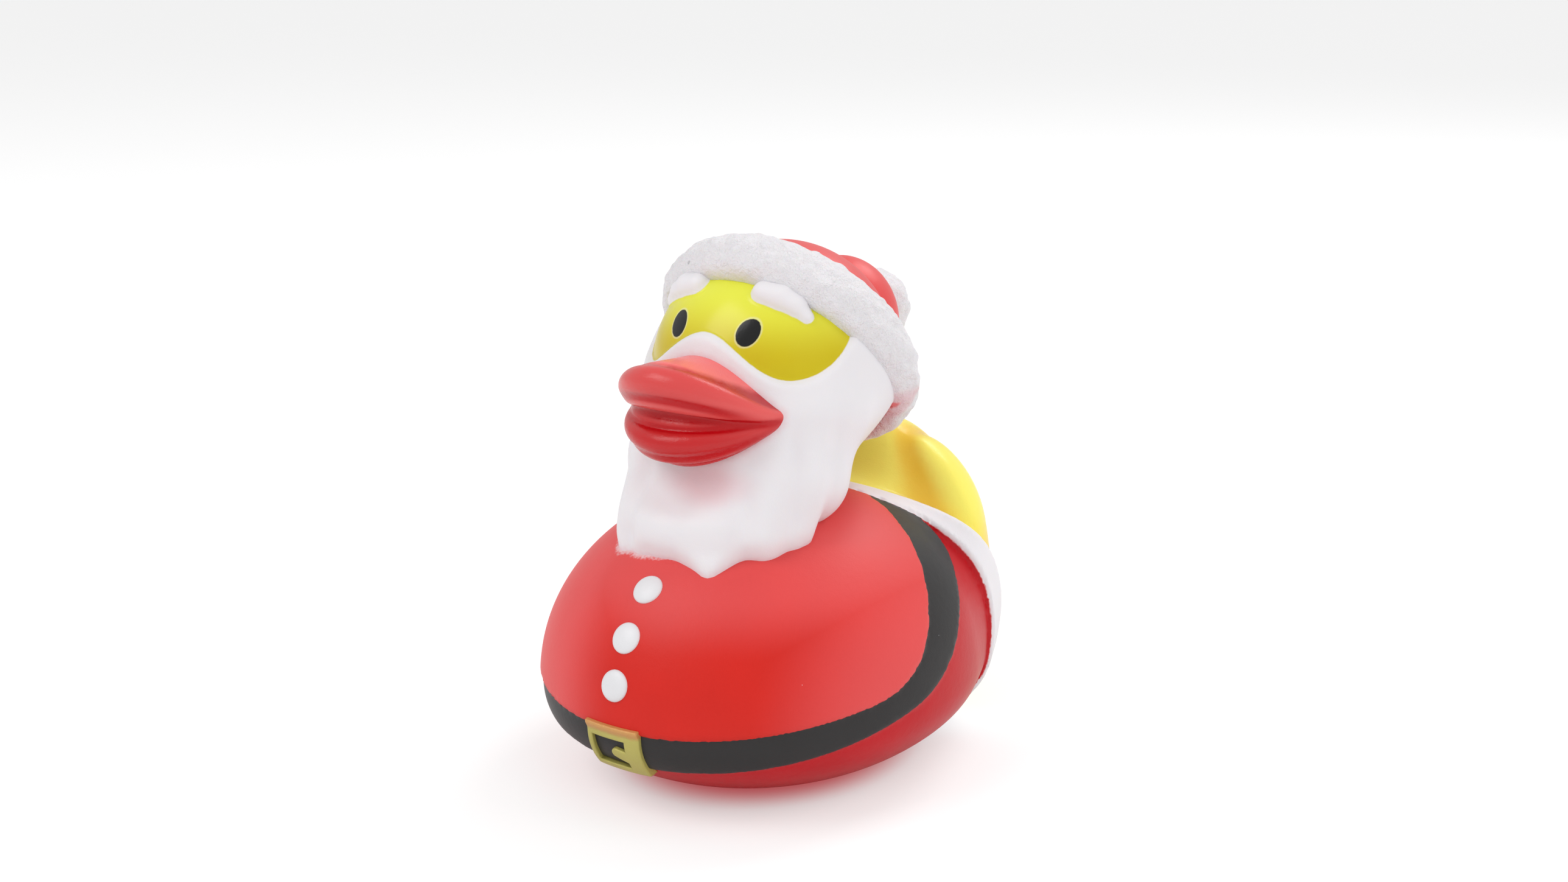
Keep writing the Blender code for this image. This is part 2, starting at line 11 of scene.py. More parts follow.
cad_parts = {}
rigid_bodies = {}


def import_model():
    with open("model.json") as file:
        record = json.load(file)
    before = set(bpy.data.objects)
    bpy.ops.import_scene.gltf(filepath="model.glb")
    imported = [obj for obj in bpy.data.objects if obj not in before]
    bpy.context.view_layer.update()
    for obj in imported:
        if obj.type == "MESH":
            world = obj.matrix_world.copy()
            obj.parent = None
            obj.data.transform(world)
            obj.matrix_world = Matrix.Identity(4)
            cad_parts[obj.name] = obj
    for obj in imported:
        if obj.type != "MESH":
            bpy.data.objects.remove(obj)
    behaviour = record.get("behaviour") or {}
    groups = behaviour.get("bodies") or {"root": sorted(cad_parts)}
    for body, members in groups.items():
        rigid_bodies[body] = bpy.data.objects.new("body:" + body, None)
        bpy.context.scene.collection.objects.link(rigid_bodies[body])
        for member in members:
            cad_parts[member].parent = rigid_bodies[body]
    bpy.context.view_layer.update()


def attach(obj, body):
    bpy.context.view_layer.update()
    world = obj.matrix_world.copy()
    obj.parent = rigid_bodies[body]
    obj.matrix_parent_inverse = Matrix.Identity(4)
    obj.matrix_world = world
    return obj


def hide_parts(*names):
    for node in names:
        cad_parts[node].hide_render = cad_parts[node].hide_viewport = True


bl_info = {
    "name": "Moulded Bath Duck",
    "version": (1, 0, 0),
    "blender": (4, 5, 0),
    "location": "View3D > Sidebar > Duck",
    "description": "Makes a painted vinyl bath duck in a winter costume",
    "category": "Add Mesh",
}

MM = 0.001

for startup_object in list(bpy.data.objects):
    bpy.data.objects.remove(startup_object)
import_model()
NODE = "duck"
BODY = "root"

# Torso: an egg, widest at its middle height
BODY_WIDTH = 67.0 * MM
BODY_FRONT = 38.9 * MM
BODY_BACK = 39.5 * MM
BODY_RISE = 29.5 * MM
BODY_DROP = 16.0 * MM
BODY_MIDDLE = 15.0 * MM
BODY_FULLNESS = 2.1

# Reliefs of the painted coat
COAT_OVERHANG = 1.2 * MM
BELT_THICKNESS = 0.7 * MM
HEM_THICKNESS = 0.9 * MM
EDGE_ROUNDING = 0.35 * MM

# The belt's edges and the hem's edges, seen from the side
BELT_TOP_FLANK = (-39.7 * MM, 15.3 * MM, 8.5)
BELT_TOP_REAR = (3.2 * MM, 32.4 * MM, 51.0)
BELT_TOP_BEND = 6.0 * MM
BELT_LOW_FLANK = (-27.0 * MM, 11.5 * MM, 13.0)
BELT_LOW_REAR = (8.0 * MM, 24.5 * MM, 41.0)
BELT_LOW_NAPE = (18.5 * MM, 35.5 * MM, 108.0)
BELT_LOW_BEND = 4.0 * MM
HEM_INNER_ARC = (-2.0 * MM, 19.0 * MM, 27.6 * MM)
HEM_OUTER_ARC = (1.5 * MM, 14.0 * MM, 32.4 * MM)

# Tail
TAIL_CENTRE = (0.0, 28.5 * MM, 26.0 * MM)
TAIL_WIDTH = 49.0 * MM
TAIL_FRONT = 8.0 * MM
TAIL_BACK = 15.0 * MM
TAIL_RISE = 25.8 * MM
TAIL_DROP = 26.0 * MM
TAIL_FULLNESS = 2.2
TAIL_BLEND = 9.0 * MM
FLUTE_FAN_Z = 63.0 * MM
FLUTES = ((34.0, 0.8 * MM, 6.0), (50.0, 0.45 * MM, 6.0))

# Head
HEAD_CENTRE = (0.0, 2.5 * MM, 65.0 * MM)
HEAD_WIDTH = 40.0 * MM
HEAD_FRONT = 20.2 * MM
HEAD_BACK = 20.0 * MM
HEAD_RISE = 18.5 * MM
HEAD_DROP = 15.5 * MM
NECK_RADIUS = 12.5 * MM
NECK_Y = 1.0 * MM

# Hat
HAT_LEAN = 50.0
TRIM_WIDTH = 10.0 * MM
TRIM_THICKNESS = 3.5 * MM
TRIM_RADIUS = (19.8 * MM, 19.8 * MM, 18.5 * MM)
TRIM_LIFT = 5.6 * MM
TRIM_FULLNESS = 2.2
FLEECE_MARGIN = 1.2 * MM
EDGE_SHARE = 0.2
CROWN_CENTRE = (0.0, 3.7 * MM, 66.6 * MM)
CROWN_WIDTH = 37.8 * MM
CROWN_DEPTH = 35.4 * MM
CROWN_HEIGHT = 36.6 * MM
DROOP_CENTRE = (0.0, 20.7 * MM, 69.0 * MM)
DROOP_WIDTH = 20.2 * MM
DROOP_DEPTH = 18.6 * MM
DROOP_HEIGHT = 22.6 * MM
DROOP_BLEND = 1.0 * MM
BOBBLE_CENTRE = (0.0, 30.0 * MM, 70.5 * MM)
BOBBLE_DIAMETER = 13.0 * MM

# Beard: masses as (y, z, half width, front, back, up, down), and its edge as (direction in degrees, reach)
BEARD_MASSES = (
    (-3.0 * MM, 60.5 * MM, 20.3 * MM, 16.3 * MM, 10.5 * MM, 8.0 * MM, 13.0 * MM),
    (-7.0 * MM, 50.5 * MM, 19.6 * MM, 16.0 * MM, 9.5 * MM, 12.0 * MM, 12.0 * MM),
    (-12.5 * MM, 43.5 * MM, 16.9 * MM, 15.0 * MM, 4.0 * MM, 10.0 * MM, 8.0 * MM),
)
BEARD_BLEND = 4.0 * MM
BEARD_THICKNESS = 1.3 * MM
BEARD_BACK_Y = -10.5 * MM
BEARD_AXIS_Y = -2.0 * MM
BEARD_EDGE = (
    (-80.0, 12.5 * MM),
    (-60.0, 18.5 * MM),
    (-38.0, 22.0 * MM),
    (-23.0, 25.3 * MM),
    (-15.0, 24.6 * MM),
    (-9.0, 23.3 * MM),
    (3.0, 23.3 * MM),
    (11.0, 24.3 * MM),
    (18.5, 26.5 * MM),
    (25.0, 24.0 * MM),
    (33.0, 21.1 * MM),
    (45.0, 20.5 * MM),
    (51.0, 20.0 * MM),
    (57.0, 17.6 * MM),
    (66.0, 14.8 * MM),
    (80.0, 12.5 * MM),
)
BEARD_EDGE_EASE = 2.0
NAPE_LINE = (6.0 * MM, 57.0 * MM, 56.0)
NAPE_ROUNDING = 1.2 * MM
CHIN_CENTRE = (0.0, -26.5 * MM, 53.5 * MM)
CHIN_HALF_WIDTH = 12.0 * MM
CHIN_DEPTH = 4.5 * MM
CHIN_HEIGHT = 6.0 * MM
MOUSTACHE_LOW = 66.2 * MM
MOUSTACHE_PEAK = 6.6 * MM
MOUSTACHE_RISE = 5.3 * MM
MOUSTACHE_RELIEF = 0.9 * MM
PEAK_ANGLE = 42.0
TEMPLE_ANGLE = 30.0
# Soft folds down the beard: direction round its axis, depth, spread in degrees, and the heights that it
# runs between, with depth and heights in millimetres
BEARD_FOLDS = (
    (-46.0, 0.7, 4.5, 38.0, 60.0),
    (-20.0, 0.7, 4.5, 36.0, 53.0),
    (4.0, 0.25, 6.0, 36.0, 48.0),
    (30.0, 0.6, 5.0, 36.0, 52.0),
    (50.0, 0.6, 4.5, 38.0, 58.0),
    (70.0, 0.5, 5.0, 42.0, 62.0),
)
FOLD_START_EASE = 3.0
FOLD_END_EASE = 5.0
FOLD_LEAN = 0.004
FOLD_LEAN_HEIGHT = 48.0
# The low ridge beside each fold, as a share of the fold's depth, and how far round the axis it lies
RIDGE_SHARE = 0.5
RIDGE_TURN = 1.12
RIDGE_OFFSET = 6.0

# Bill: rolls as (reach, height at the front, height at the root, radius, how fast it closes)
BILL_AXIS_Y = -10.0 * MM
BILL_HALF_WIDTH = 13.6 * MM
BILL_ROOT = 5.0 * MM
BILL_CORNER_Z = 61.0 * MM
BILL_ROLLS = (
    (15.6 * MM, 68.4 * MM, 68.0 * MM, 1.4 * MM, 2.2),
    (17.8 * MM, 67.1 * MM, 66.6 * MM, 2.5 * MM, 2.0),
    (17.3 * MM, 64.6 * MM, 64.4 * MM, 1.9 * MM, 1.8),
    (14.8 * MM, 62.0 * MM, 62.2 * MM, 1.5 * MM, 1.5),
    (15.4 * MM, 60.1 * MM, 60.6 * MM, 1.6 * MM, 1.3),
    (17.2 * MM, 57.7 * MM, 59.0 * MM, 1.9 * MM, 1.2),
    (16.0 * MM, 55.9 * MM, 58.0 * MM, 1.6 * MM, 1.1),
    (13.0 * MM, 54.4 * MM, 57.2 * MM, 1.2 * MM, 1.1),
)
ROLL_BLEND = 0.6 * MM
ROLL_CORNER_SHARE = 0.25
BILL_CORNER_TURN = 80.0

# Brows, eyes, buttons and buckle
BROW_POINTS = (
    (6.4 * MM, 78.7 * MM, 2.0 * MM),
    (9.0 * MM, 78.1 * MM, 2.3 * MM),
    (11.2 * MM, 77.0 * MM, 1.9 * MM),
    (13.0 * MM, 75.5 * MM, 1.1 * MM),
)
BROW_BLEND = 0.2 * MM
EYE_X = 6.7 * MM
EYE_Z = 73.3 * MM
EYE_WIDTH = 3.5 * MM
EYE_HEIGHT = 4.0 * MM
BUTTON_Z = (34.4 * MM, 28.35 * MM, 21.9 * MM)
BUCKLE_WIDTH = 10.2 * MM
BUCKLE_LEFT_BAR = 1.0 * MM
BUCKLE_RIGHT_BAR = 2.8 * MM
BUCKLE_OVER_TOP = 0.9 * MM
BUCKLE_TOP_BAR = 1.4 * MM
BUCKLE_FOOT = 1.3 * MM
BUCKLE_LOW_BAR = 0.1 * MM
BUCKLE_ROUNDING = 0.3 * MM
PRONG_ROOT = (3.2 * MM, 2.1 * MM, 1.15 * MM)
PRONG_TIP = (0.4 * MM, 2.9 * MM, 0.85 * MM)
# Painted shade under the bill: its middle, how it is squashed, and how far it reaches
UNDER_BILL_SHADE = (4.3 * MM, -22.0 * MM, 50.9 * MM)
UNDER_BILL_SHADE_SQUASH = (0.8, 0.8, 1.8)
UNDER_BILL_SHADE_REACH = 5.0 * MM
SEAM_BLEND = 0.6 * MM
PROBE = 0.02 * MM

# Nets: a rough grid is read first, and the fine one only near the surface
ROUGH_STEP = 4
NEAR_CELLS = 1.6
PROJECTIONS = 2
NET_MARGIN = 3.0 * MM
SMALL_MARGIN = 2.0 * MM
BASE_MARGIN = 0.8 * MM
BILL_NET_LENGTH = 22.0 * MM
BILL_NET_RISE = (51.0 * MM, 74.0 * MM)
BEARD_NET_FRONT = 34.0 * MM
BUCKLE_NET_RISE = (6.0 * MM, 20.0 * MM)
FLEECE_LUMP = 2.6 * MM
FLEECE_TUFT = 1.1 * MM
TUFT_SHARE = 0.6

# How far each paint, painted shade and painted highlight reaches past the edge of its form
BELT_SHADE_REACH = 0.9 * MM
EYE_RIM = 0.22 * MM
SPRAY_REACH = 0.5 * MM
SPRAY_FADE_X = -4.0 * MM
SPRAY_FADE = 0.15
FLUTE_SHADE_SCALE = 2.0
FLUTE_SHADE_START = 0.85 * MM
CREST_SPREAD = 0.8 * MM
BILL_ROOT_HIGHLIGHT_Z = 64.5 * MM
BILL_ROOT_HIGHLIGHT_REACH = 11.5 * MM
NAPE_PAINT_Y = 4.0 * MM
NAPE_PAINT_Z = 60.0 * MM
NAPE_RED_REACH = 1.0 * MM
NAPE_PINK_REACH = 3.4 * MM
NAPE_PINK_EASE = 2.0 * MM
TOP_BAR_REACH = 0.3 * MM

# Buttons: the gap over which the chest's slope is read, and how deep a button sits in the coat
BUTTON_SLOPE_GAP = 0.2 * MM
BUTTON_SINK = 0.05 * MM

# Where the painted highlights change, in millimetres over the base or from the middle
SHOULDER_HIGHLIGHT_RISE = (27.0, 36.0)
FLANK_HIGHLIGHT_FADE = 14.0
FLANK_HIGHLIGHT_START = 20.0
FOREHEAD_HIGHLIGHT_RISE = (69.0, 79.0)
UPPER_BILL_HIGHLIGHT_RISE = (58.5, 63.0)

# Room: each lamp as (name, place, size, watts, seen in reflections), in metres
LAMPS = (
    ("key_lamp", (-0.45, -0.75, 0.95), 0.7, 4.6, True),
    ("fill_lamp", (0.9, -0.35, 0.55), 0.6, 1.5, False),
    ("back_lamp", (0.1, 0.8, 0.9), 0.5, 4.0, True),
    ("side_lamp", (0.75, 0.3, 0.7), 0.5, 1.2, False),
)
LAMP_AIM = (0, 0, 0.04)
ROOM_LIGHT = 0.66
FLOOR_REACH = 14.0
FLOOR_WHITE = (0.88, 0.88, 0.88)
FLOOR_GLOW = 1.32
CAMERA_PLACE = (0.18853, -0.25506, 0.13151)
CAMERA_AIM = (0.00032, 0.00398, 0.05168)
PICTURE_WIDTH = 2576.0
LENS_PIXELS = 3300.0
SENSOR_WIDTH = 36.0


# Form: distances in metres, below zero inside

def egg(p, centre, half_width, front, back, up, down, power=2.0):
    """Distance to an egg whose reach differs to each side of its centre."""
    q = p - np.asarray(centre)
    ry = np.where(q[:, 1] < 0, front, back)
    rz = np.where(q[:, 2] > 0, up, down)
    radii = np.stack([np.full(len(q), half_width), ry, rz], -1)
    s = np.abs(q) / radii + 1e-9
    n = (s ** power).sum(-1) ** (1 / power)
    slope = n[:, None] ** (1 - power) * s ** (power - 1) / radii
    return (n - 1) / np.linalg.norm(slope, axis=-1)


def join(a, b, blend):
    """Union of two forms, with a soft seam."""
    h = np.clip(0.5 + 0.5 * (b - a) / blend, 0, 1)
    return b * (1 - h) + a * h - blend * h * (1 - h)


def keep(a, b, blend):
    """What two forms share, with a rounded edge."""
    return -join(-a, -b, blend)


def step(x, width):
    """From 0 to 1, smoothly over the width to each side of zero."""
    t = np.clip(0.5 + x / (2 * width), 0, 1)
    return t * t * (3 - 2 * t)


def bell(x, width):
    """1 at zero, dying out over the width."""
    return np.exp(-(x / width) ** 2)


def run_side(p, run):
    """How far above a straight run, given as (y, z, slope in degrees), the points lie from the side."""
    y, z, slope = run
    a = np.radians(slope)
    return np.cos(a) * (p[:, 2] - z) - np.sin(a) * (p[:, 1] - y)


def arc_side(p, arc):
    """How far inside an arc, given as (y, z, radius), the points lie from the side."""
    return arc[2] - np.hypot(np.maximum(p[:, 1] - arc[0], 0), p[:, 2] - arc[1])


def coat_lines(p):
    """How far above the belt's edges and inside the hem's edges the points lie."""
    top = join(run_side(p, BELT_TOP_FLANK), run_side(p, BELT_TOP_REAR), BELT_TOP_BEND)
    low = join(run_side(p, BELT_LOW_FLANK), run_side(p, BELT_LOW_REAR), BELT_LOW_BEND)
    low = join(low, run_side(p, BELT_LOW_NAPE), BELT_LOW_BEND)
    return top, low, arc_side(p, HEM_INNER_ARC), arc_side(p, HEM_OUTER_ARC)


def flute_relief(p):
    fan = np.degrees(np.arctan2(np.abs(p[:, 0]), np.maximum(FLUTE_FAN_Z - p[:, 2], MM)))
    return sum(-depth * bell(fan - angle, spread) for angle, depth, spread in FLUTES)


def plain_body(p):
    centre = (0.0, 0.0, BODY_MIDDLE)
    torso = egg(p, centre, BODY_WIDTH / 2, BODY_FRONT, BODY_BACK, BODY_RISE, BODY_DROP, BODY_FULLNESS)
    tail = egg(p, TAIL_CENTRE, TAIL_WIDTH / 2, TAIL_FRONT, TAIL_BACK, TAIL_RISE, TAIL_DROP, TAIL_FULLNESS)
    return join(torso, tail, TAIL_BLEND)


def body(p):
    top, low, hem, outer = coat_lines(p)
    coat = step(outer, EDGE_ROUNDING)
    skirt = step(hem, EDGE_ROUNDING)
    over_belt = COAT_OVERHANG * step(top, EDGE_ROUNDING)
    belt = BELT_THICKNESS * step(low, EDGE_ROUNDING)
    relief = skirt * np.maximum(over_belt, belt)
    relief = np.maximum(relief, HEM_THICKNESS * (coat - skirt))
    return plain_body(p) - relief - flute_relief(p) * (1 - coat)


def coat_form(p):
    return np.maximum(body(p), -p[:, 2])


def neck(p):
    r = np.hypot(p[:, 0], p[:, 1] - NECK_Y) - NECK_RADIUS
    return np.maximum(r, np.maximum(p[:, 2] - HEAD_CENTRE[2], BODY_MIDDLE - p[:, 2]))


def skull(p):
    return egg(p, HEAD_CENTRE, HEAD_WIDTH / 2, HEAD_FRONT, HEAD_BACK, HEAD_RISE, HEAD_DROP)


def moustache_line(p):
    angle = np.degrees(np.abs(np.arctan2(p[:, 0], HEAD_CENTRE[1] - p[:, 1])))
    peak = 0.5 + 0.5 * np.cos(np.pi * np.clip(angle / PEAK_ANGLE, 0, 1))
    rise = np.clip((angle - PEAK_ANGLE) / TEMPLE_ANGLE, 0, 1.6) ** 2
    return MOUSTACHE_LOW + MOUSTACHE_PEAK * peak + MOUSTACHE_RISE * rise - p[:, 2]


def beard_edge(p):
    angle = np.degrees(np.arctan2(p[:, 0], BEARD_AXIS_Y - p[:, 1]))
    at, length = np.array(BEARD_EDGE).T
    edge = sum(np.interp(angle + ease, at, length) for ease in (-BEARD_EDGE_EASE, 0, BEARD_EDGE_EASE)) / 3
    return edge - np.hypot(p[:, 0], p[:, 1] - BEARD_AXIS_Y)


def beard_folds(p):
    """Depth of the soft folds that run down the beard."""
    angle = np.degrees(np.arctan2(p[:, 0], BEARD_AXIS_Y - p[:, 1]))
    z = p[:, 2] / MM
    depth = 0.0
    for at, deep, spread, low, high in BEARD_FOLDS:
        along = step(z - low, FOLD_START_EASE) * step(high - z, FOLD_END_EASE)
        lean = at * (1 + FOLD_LEAN * (z - FOLD_LEAN_HEIGHT))
        depth = depth + deep * MM * bell(angle - lean, spread) * along
        beside = angle - lean * RIDGE_TURN - RIDGE_OFFSET * np.sign(at)
        depth = depth - RIDGE_SHARE * deep * MM * bell(beside, spread) * along
    return depth


def beard(p):
    mass = skull(p) - MOUSTACHE_RELIEF
    for y, z, wide, front, back, up, down in BEARD_MASSES:
        mass = join(mass, egg(p, (0.0, y, z), wide, front, back, up, down), BEARD_BLEND)
    hollow = egg(p, CHIN_CENTRE, CHIN_HALF_WIDTH, CHIN_DEPTH, CHIN_DEPTH, CHIN_HEIGHT, CHIN_HEIGHT)
    mass = keep(mass, -hollow, BEARD_BLEND)
    cover = keep(body(p) - BEARD_THICKNESS, -beard_edge(p), MM)
    cover = keep(cover, p[:, 1] - BEARD_BACK_Y, MM)
    cover = keep(cover, BODY_MIDDLE - p[:, 2], MM)
    mass = join(mass, cover, BEARD_BLEND) + beard_folds(p)
    mass = keep(mass, -run_side(p, NAPE_LINE), NAPE_ROUNDING)
    mass = keep(mass, hat_frame(p)[2] - TRIM_LIFT, SEAM_BLEND)
    return keep(mass, -moustache_line(p), MM)


def face(p):
    """The head up to the hat's trim: above that the crown makes the form."""
    return keep(skull(p), hat_frame(p)[2] - TRIM_LIFT, SEAM_BLEND)


def face_y(x, z):
    reach = HEAD_RISE if z > HEAD_CENTRE[2] else HEAD_DROP
    inside = 1 - (x / (HEAD_WIDTH / 2)) ** 2 - ((z - HEAD_CENTRE[2]) / reach) ** 2
    return HEAD_CENTRE[1] - HEAD_FRONT * np.sqrt(max(inside, 0))


def brow(p):
    near = np.stack([np.abs(p[:, 0]), p[:, 1], p[:, 2]], -1)
    result = None
    for (xa, za, ra), (xb, zb, rb) in zip(BROW_POINTS[:-1], BROW_POINTS[1:]):
        a = np.array((xa, face_y(xa, za), za))
        b = np.array((xb, face_y(xb, zb), zb))
        run = b - a
        t = np.clip((near - a) @ run / (run @ run), 0, 1)
        d = np.linalg.norm(near - a - t[:, None] * run, axis=-1) - (ra + (rb - ra) * t)
        result = d if result is None else join(result, d, BROW_BLEND)
    return result


def head_form(p):
    result = join(face(p), neck(p), SEAM_BLEND)
    result = join(result, beard(p), SEAM_BLEND)
    return join(result, brow(p), SEAM_BLEND)


def hat_frame(p):
    q = p - np.asarray(HEAD_CENTRE)
    lean = np.radians(HAT_LEAN)
    along = q[:, 1] * np.sin(lean) + q[:, 2] * np.cos(lean)
    front = q[:, 2] * np.sin(lean) - q[:, 1] * np.cos(lean)
    return q[:, 0], front, along


def trim_across(p):
    """Place across the trim's width, from its middle line."""
    side, front, along = hat_frame(p)
    return np.arctan2(along, np.hypot(side, front)) * TRIM_RADIUS[1] - TRIM_LIFT


def trim_share(p):
    """Share of the fleece's lumps, which die out towards the trim's two edges."""
    inside = TRIM_WIDTH / 2 - FLEECE_MARGIN - np.abs(trim_across(p))
    return EDGE_SHARE + (1 - EDGE_SHARE) * step(inside, FLEECE_MARGIN)


def trim(p):
    side, front, along = hat_frame(p)
    radii = np.array(TRIM_RADIUS)
    q = np.stack([side, front, along], -1)
    n = np.linalg.norm(q / radii, axis=-1) + 1e-9
    lift = (n - 1) * n / np.linalg.norm(q / radii ** 2, axis=-1)
    across = trim_across(p)
    half = TRIM_WIDTH / 2
    power = TRIM_FULLNESS
    a = np.abs(lift) / TRIM_THICKNESS
    b = np.abs(across) / half
    m = (a ** power + b ** power + 1e-12) ** (1 / power)
    slope = np.hypot((a / m) ** (power - 1) / TRIM_THICKNESS, (b / m) ** (power - 1) / half)
    return (m - 1) / (slope + 1e-9)


def crown(p):
    """The crown's dome, and the part of it that droops behind towards the bobble."""
    deep, high = CROWN_DEPTH / 2, CROWN_HEIGHT / 2
    dome = egg(p, CROWN_CENTRE, CROWN_WIDTH / 2, deep, deep, high, high)
    deep, high = DROOP_DEPTH / 2, DROOP_HEIGHT / 2
    return join(dome, egg(p, DROOP_CENTRE, DROOP_WIDTH / 2, deep, deep, high, high), DROOP_BLEND)


def bobble(p):
    return np.linalg.norm(p - np.asarray(BOBBLE_CENTRE), axis=-1) - BOBBLE_DIAMETER / 2


def bill(p):
    x = p[:, 0]
    y = BILL_AXIS_Y - p[:, 1]
    reach = np.hypot(x, y) + 1e-9
    turn = np.clip(np.degrees(np.arctan2(np.abs(x), y)) * 90 / BILL_CORNER_TURN, 0, 90)
    open_ = np.clip(np.cos(np.radians(turn)), 1e-4, 1)
    result = None
    for tip, tip_z, root_z, roll, fall in BILL_ROLLS:
        plan = 1 / np.hypot(y / reach / tip, x / reach / BILL_HALF_WIDTH)
        end_z = BILL_CORNER_Z + (tip_z - BILL_CORNER_Z) * open_ ** fall
        run = np.maximum(plan - BILL_ROOT, PROBE)
        rise = end_z - root_z
        along = ((reach - BILL_ROOT) * run + (p[:, 2] - root_z) * rise) / (run ** 2 + rise ** 2)
        t = np.clip(along, 0, 1)
        radius = roll * (ROLL_CORNER_SHARE + (1 - ROLL_CORNER_SHARE) * open_)
        d = np.hypot(reach - BILL_ROOT - t * run, p[:, 2] - root_z - t * rise) - radius
        result = d if result is None else join(result, d, ROLL_BLEND)
    return result


def bill_form(p):
    """The bill, cut off flat inside the head."""
    return np.maximum(bill(p), p[:, 1] - BILL_AXIS_Y - MM)


def buckle_outline(p):
    """How far inside the buckle's metal the points lie, seen straight on: a frame and its prong."""
    top, low = coat_lines(p)[:2]
    x = p[:, 0]
    half = BUCKLE_WIDTH / 2
    plate = np.minimum(np.minimum(BUCKLE_OVER_TOP - top, low + BUCKLE_FOOT), half - np.abs(x))
    window = np.minimum(x + half - BUCKLE_LEFT_BAR, half - BUCKLE_RIGHT_BAR - x)
    window = np.minimum(window, np.minimum(-top - BUCKLE_TOP_BAR, low - BUCKLE_LOW_BAR))
    a = np.array(PRONG_ROOT[:2])
    b = np.array(PRONG_TIP[:2])
    run = b - a
    q = np.stack([x, low], -1) - a
    t = np.clip(q @ run / (run @ run), 0, 1)
    radius = PRONG_ROOT[2] + (PRONG_TIP[2] - PRONG_ROOT[2]) * t
    prong = radius - np.linalg.norm(q - t[:, None] * run, axis=-1)
    return np.maximum(np.minimum(plate, -window), prong)


def buckle_form(p):
    """The buckle stands on the belt, and its top bar laps over the coat's edge."""
    top = coat_lines(p)[0]
    lap = (COAT_OVERHANG - BELT_THICKNESS) * step(top, 2 * EDGE_ROUNDING)
    rise = BELT_THICKNESS + settings().buckle_rise + lap
    shell = plain_body(p) - rise
    solid = keep(shell, -buckle_outline(p), BUCKLE_ROUNDING)
    return np.maximum(solid, -plain_body(p))


def chest_y(z):
    reach = BODY_RISE if z > BODY_MIDDLE else BODY_DROP
    inside = 1 - (min(abs(z - BODY_MIDDLE) / reach, 1)) ** BODY_FULLNESS
    return -BODY_FRONT * inside ** (1 / BODY_FULLNESS)


# Meshes

def settings():
    return bpy.context.scene.bath_duck


def net(form, low, high, cell):
    """Vertices and four-sided faces on a form, from an even grid between two corners."""
    coarse = ROUGH_STEP
    counts = [coarse * math.ceil((b - a) / cell / coarse) + 1 for a, b in zip(low, high)]
    lines = [a + cell * np.arange(n) for a, n in zip(low, counts)]
    wide = [line[::coarse] for line in lines]
    points = np.stack(np.meshgrid(*wide, indexing="ij"), -1).reshape(-1, 3)
    rough = form(points).reshape([len(line) for line in wide])
    near = np.abs(rough) < NEAR_CELLS * coarse * cell
    big = rough
    for axis in range(3):
        big = big.repeat(coarse, axis)
        near = near.repeat(coarse, axis)
    half = coarse // 2
    value = big[half:counts[0] + half, half:counts[1] + half, half:counts[2] + half].copy()
    mask = near[half:counts[0] + half, half:counts[1] + half, half:counts[2] + half]
    at = np.argwhere(mask)
    value[mask] = form(np.stack([lines[k][at[:, k]] for k in range(3)], -1))
    return surface_net(value, lines, cell)


def surface_net(value, lines, cell):
    """One vertex in each cell that the surface crosses, and a face round each edge that it crosses."""
    inside = value < 0
    cells = tuple(n - 1 for n in value.shape)
    size = cells[0] * cells[1] * cells[2]
    total = np.zeros((3, size))
    crossings = np.zeros(size)
    quads = []
    for axis in range(3):
        near = tuple(slice(0, -1) if k == axis else slice(None) for k in range(3))
        far = tuple(slice(1, None) if k == axis else slice(None) for k in range(3))
        at = np.argwhere(inside[near] != inside[far])
        ahead = at + np.eye(3, dtype=np.int64)[axis]
        v0, v1 = value[tuple(at.T)], value[tuple(ahead.T)]
        point = np.stack([lines[k][at[:, k]] for k in range(3)], -1)
        point[:, axis] += cell * v0 / (v0 - v1)
        ring = []
        for back_2, back_3 in ((0, 0), (1, 0), (1, 1), (0, 1)):
            corner = at.copy()
            corner[:, (axis + 1) % 3] -= back_2
            corner[:, (axis + 2) % 3] -= back_3
            index = np.ravel_multi_index(tuple(corner.T), cells)
            for k in range(3):
                total[k] += np.bincount(index, point[:, k], size)
            crossings += np.bincount(index, minlength=size)
            ring.append(index)
        quad = np.stack(ring, -1)
        quads.append(np.where((v0 < v1)[:, None], quad, quad[:, ::-1]))
    used = crossings > 0
    number = np.cumsum(used) - 1
    return (total[:, used] / crossings[used]).T, number[np.concatenate(quads)]


def slope_of(form, p):
    """Unit normal of the form at the points, and the distance along it."""
    distance = form(p)
    slope = np.stack([(form(p + offset) - distance) / PROBE for offset in np.eye(3) * PROBE], -1)
    length = np.linalg.norm(slope, axis=-1) + 1e-9
    return slope / length[:, None], distance / np.maximum(length, 0.5)


def rounding(form, p, reach):
    """How far the form falls away round the points: above zero on crests, below zero in valleys."""
    normal = slope_of(form, p)[0]
    across = np.cross(normal, (0.31, 0.42, 0.85))
    across /= np.linalg.norm(across, axis=-1)[:, None] + 1e-9
    along = np.cross(normal, across)
    return sum(form(p + way * reach * side) for way in (across, along) for side in (-1, 1)) / 4


def rough_noise(p, size, seed):
    """Soft lumps of the given size, about from -1 to 1, for each point."""
    shift = Vector((seed * 7.31, seed * 3.17, seed * 5.71))
    return np.array([noise.noise(Vector(q) / size + shift) for q in p])


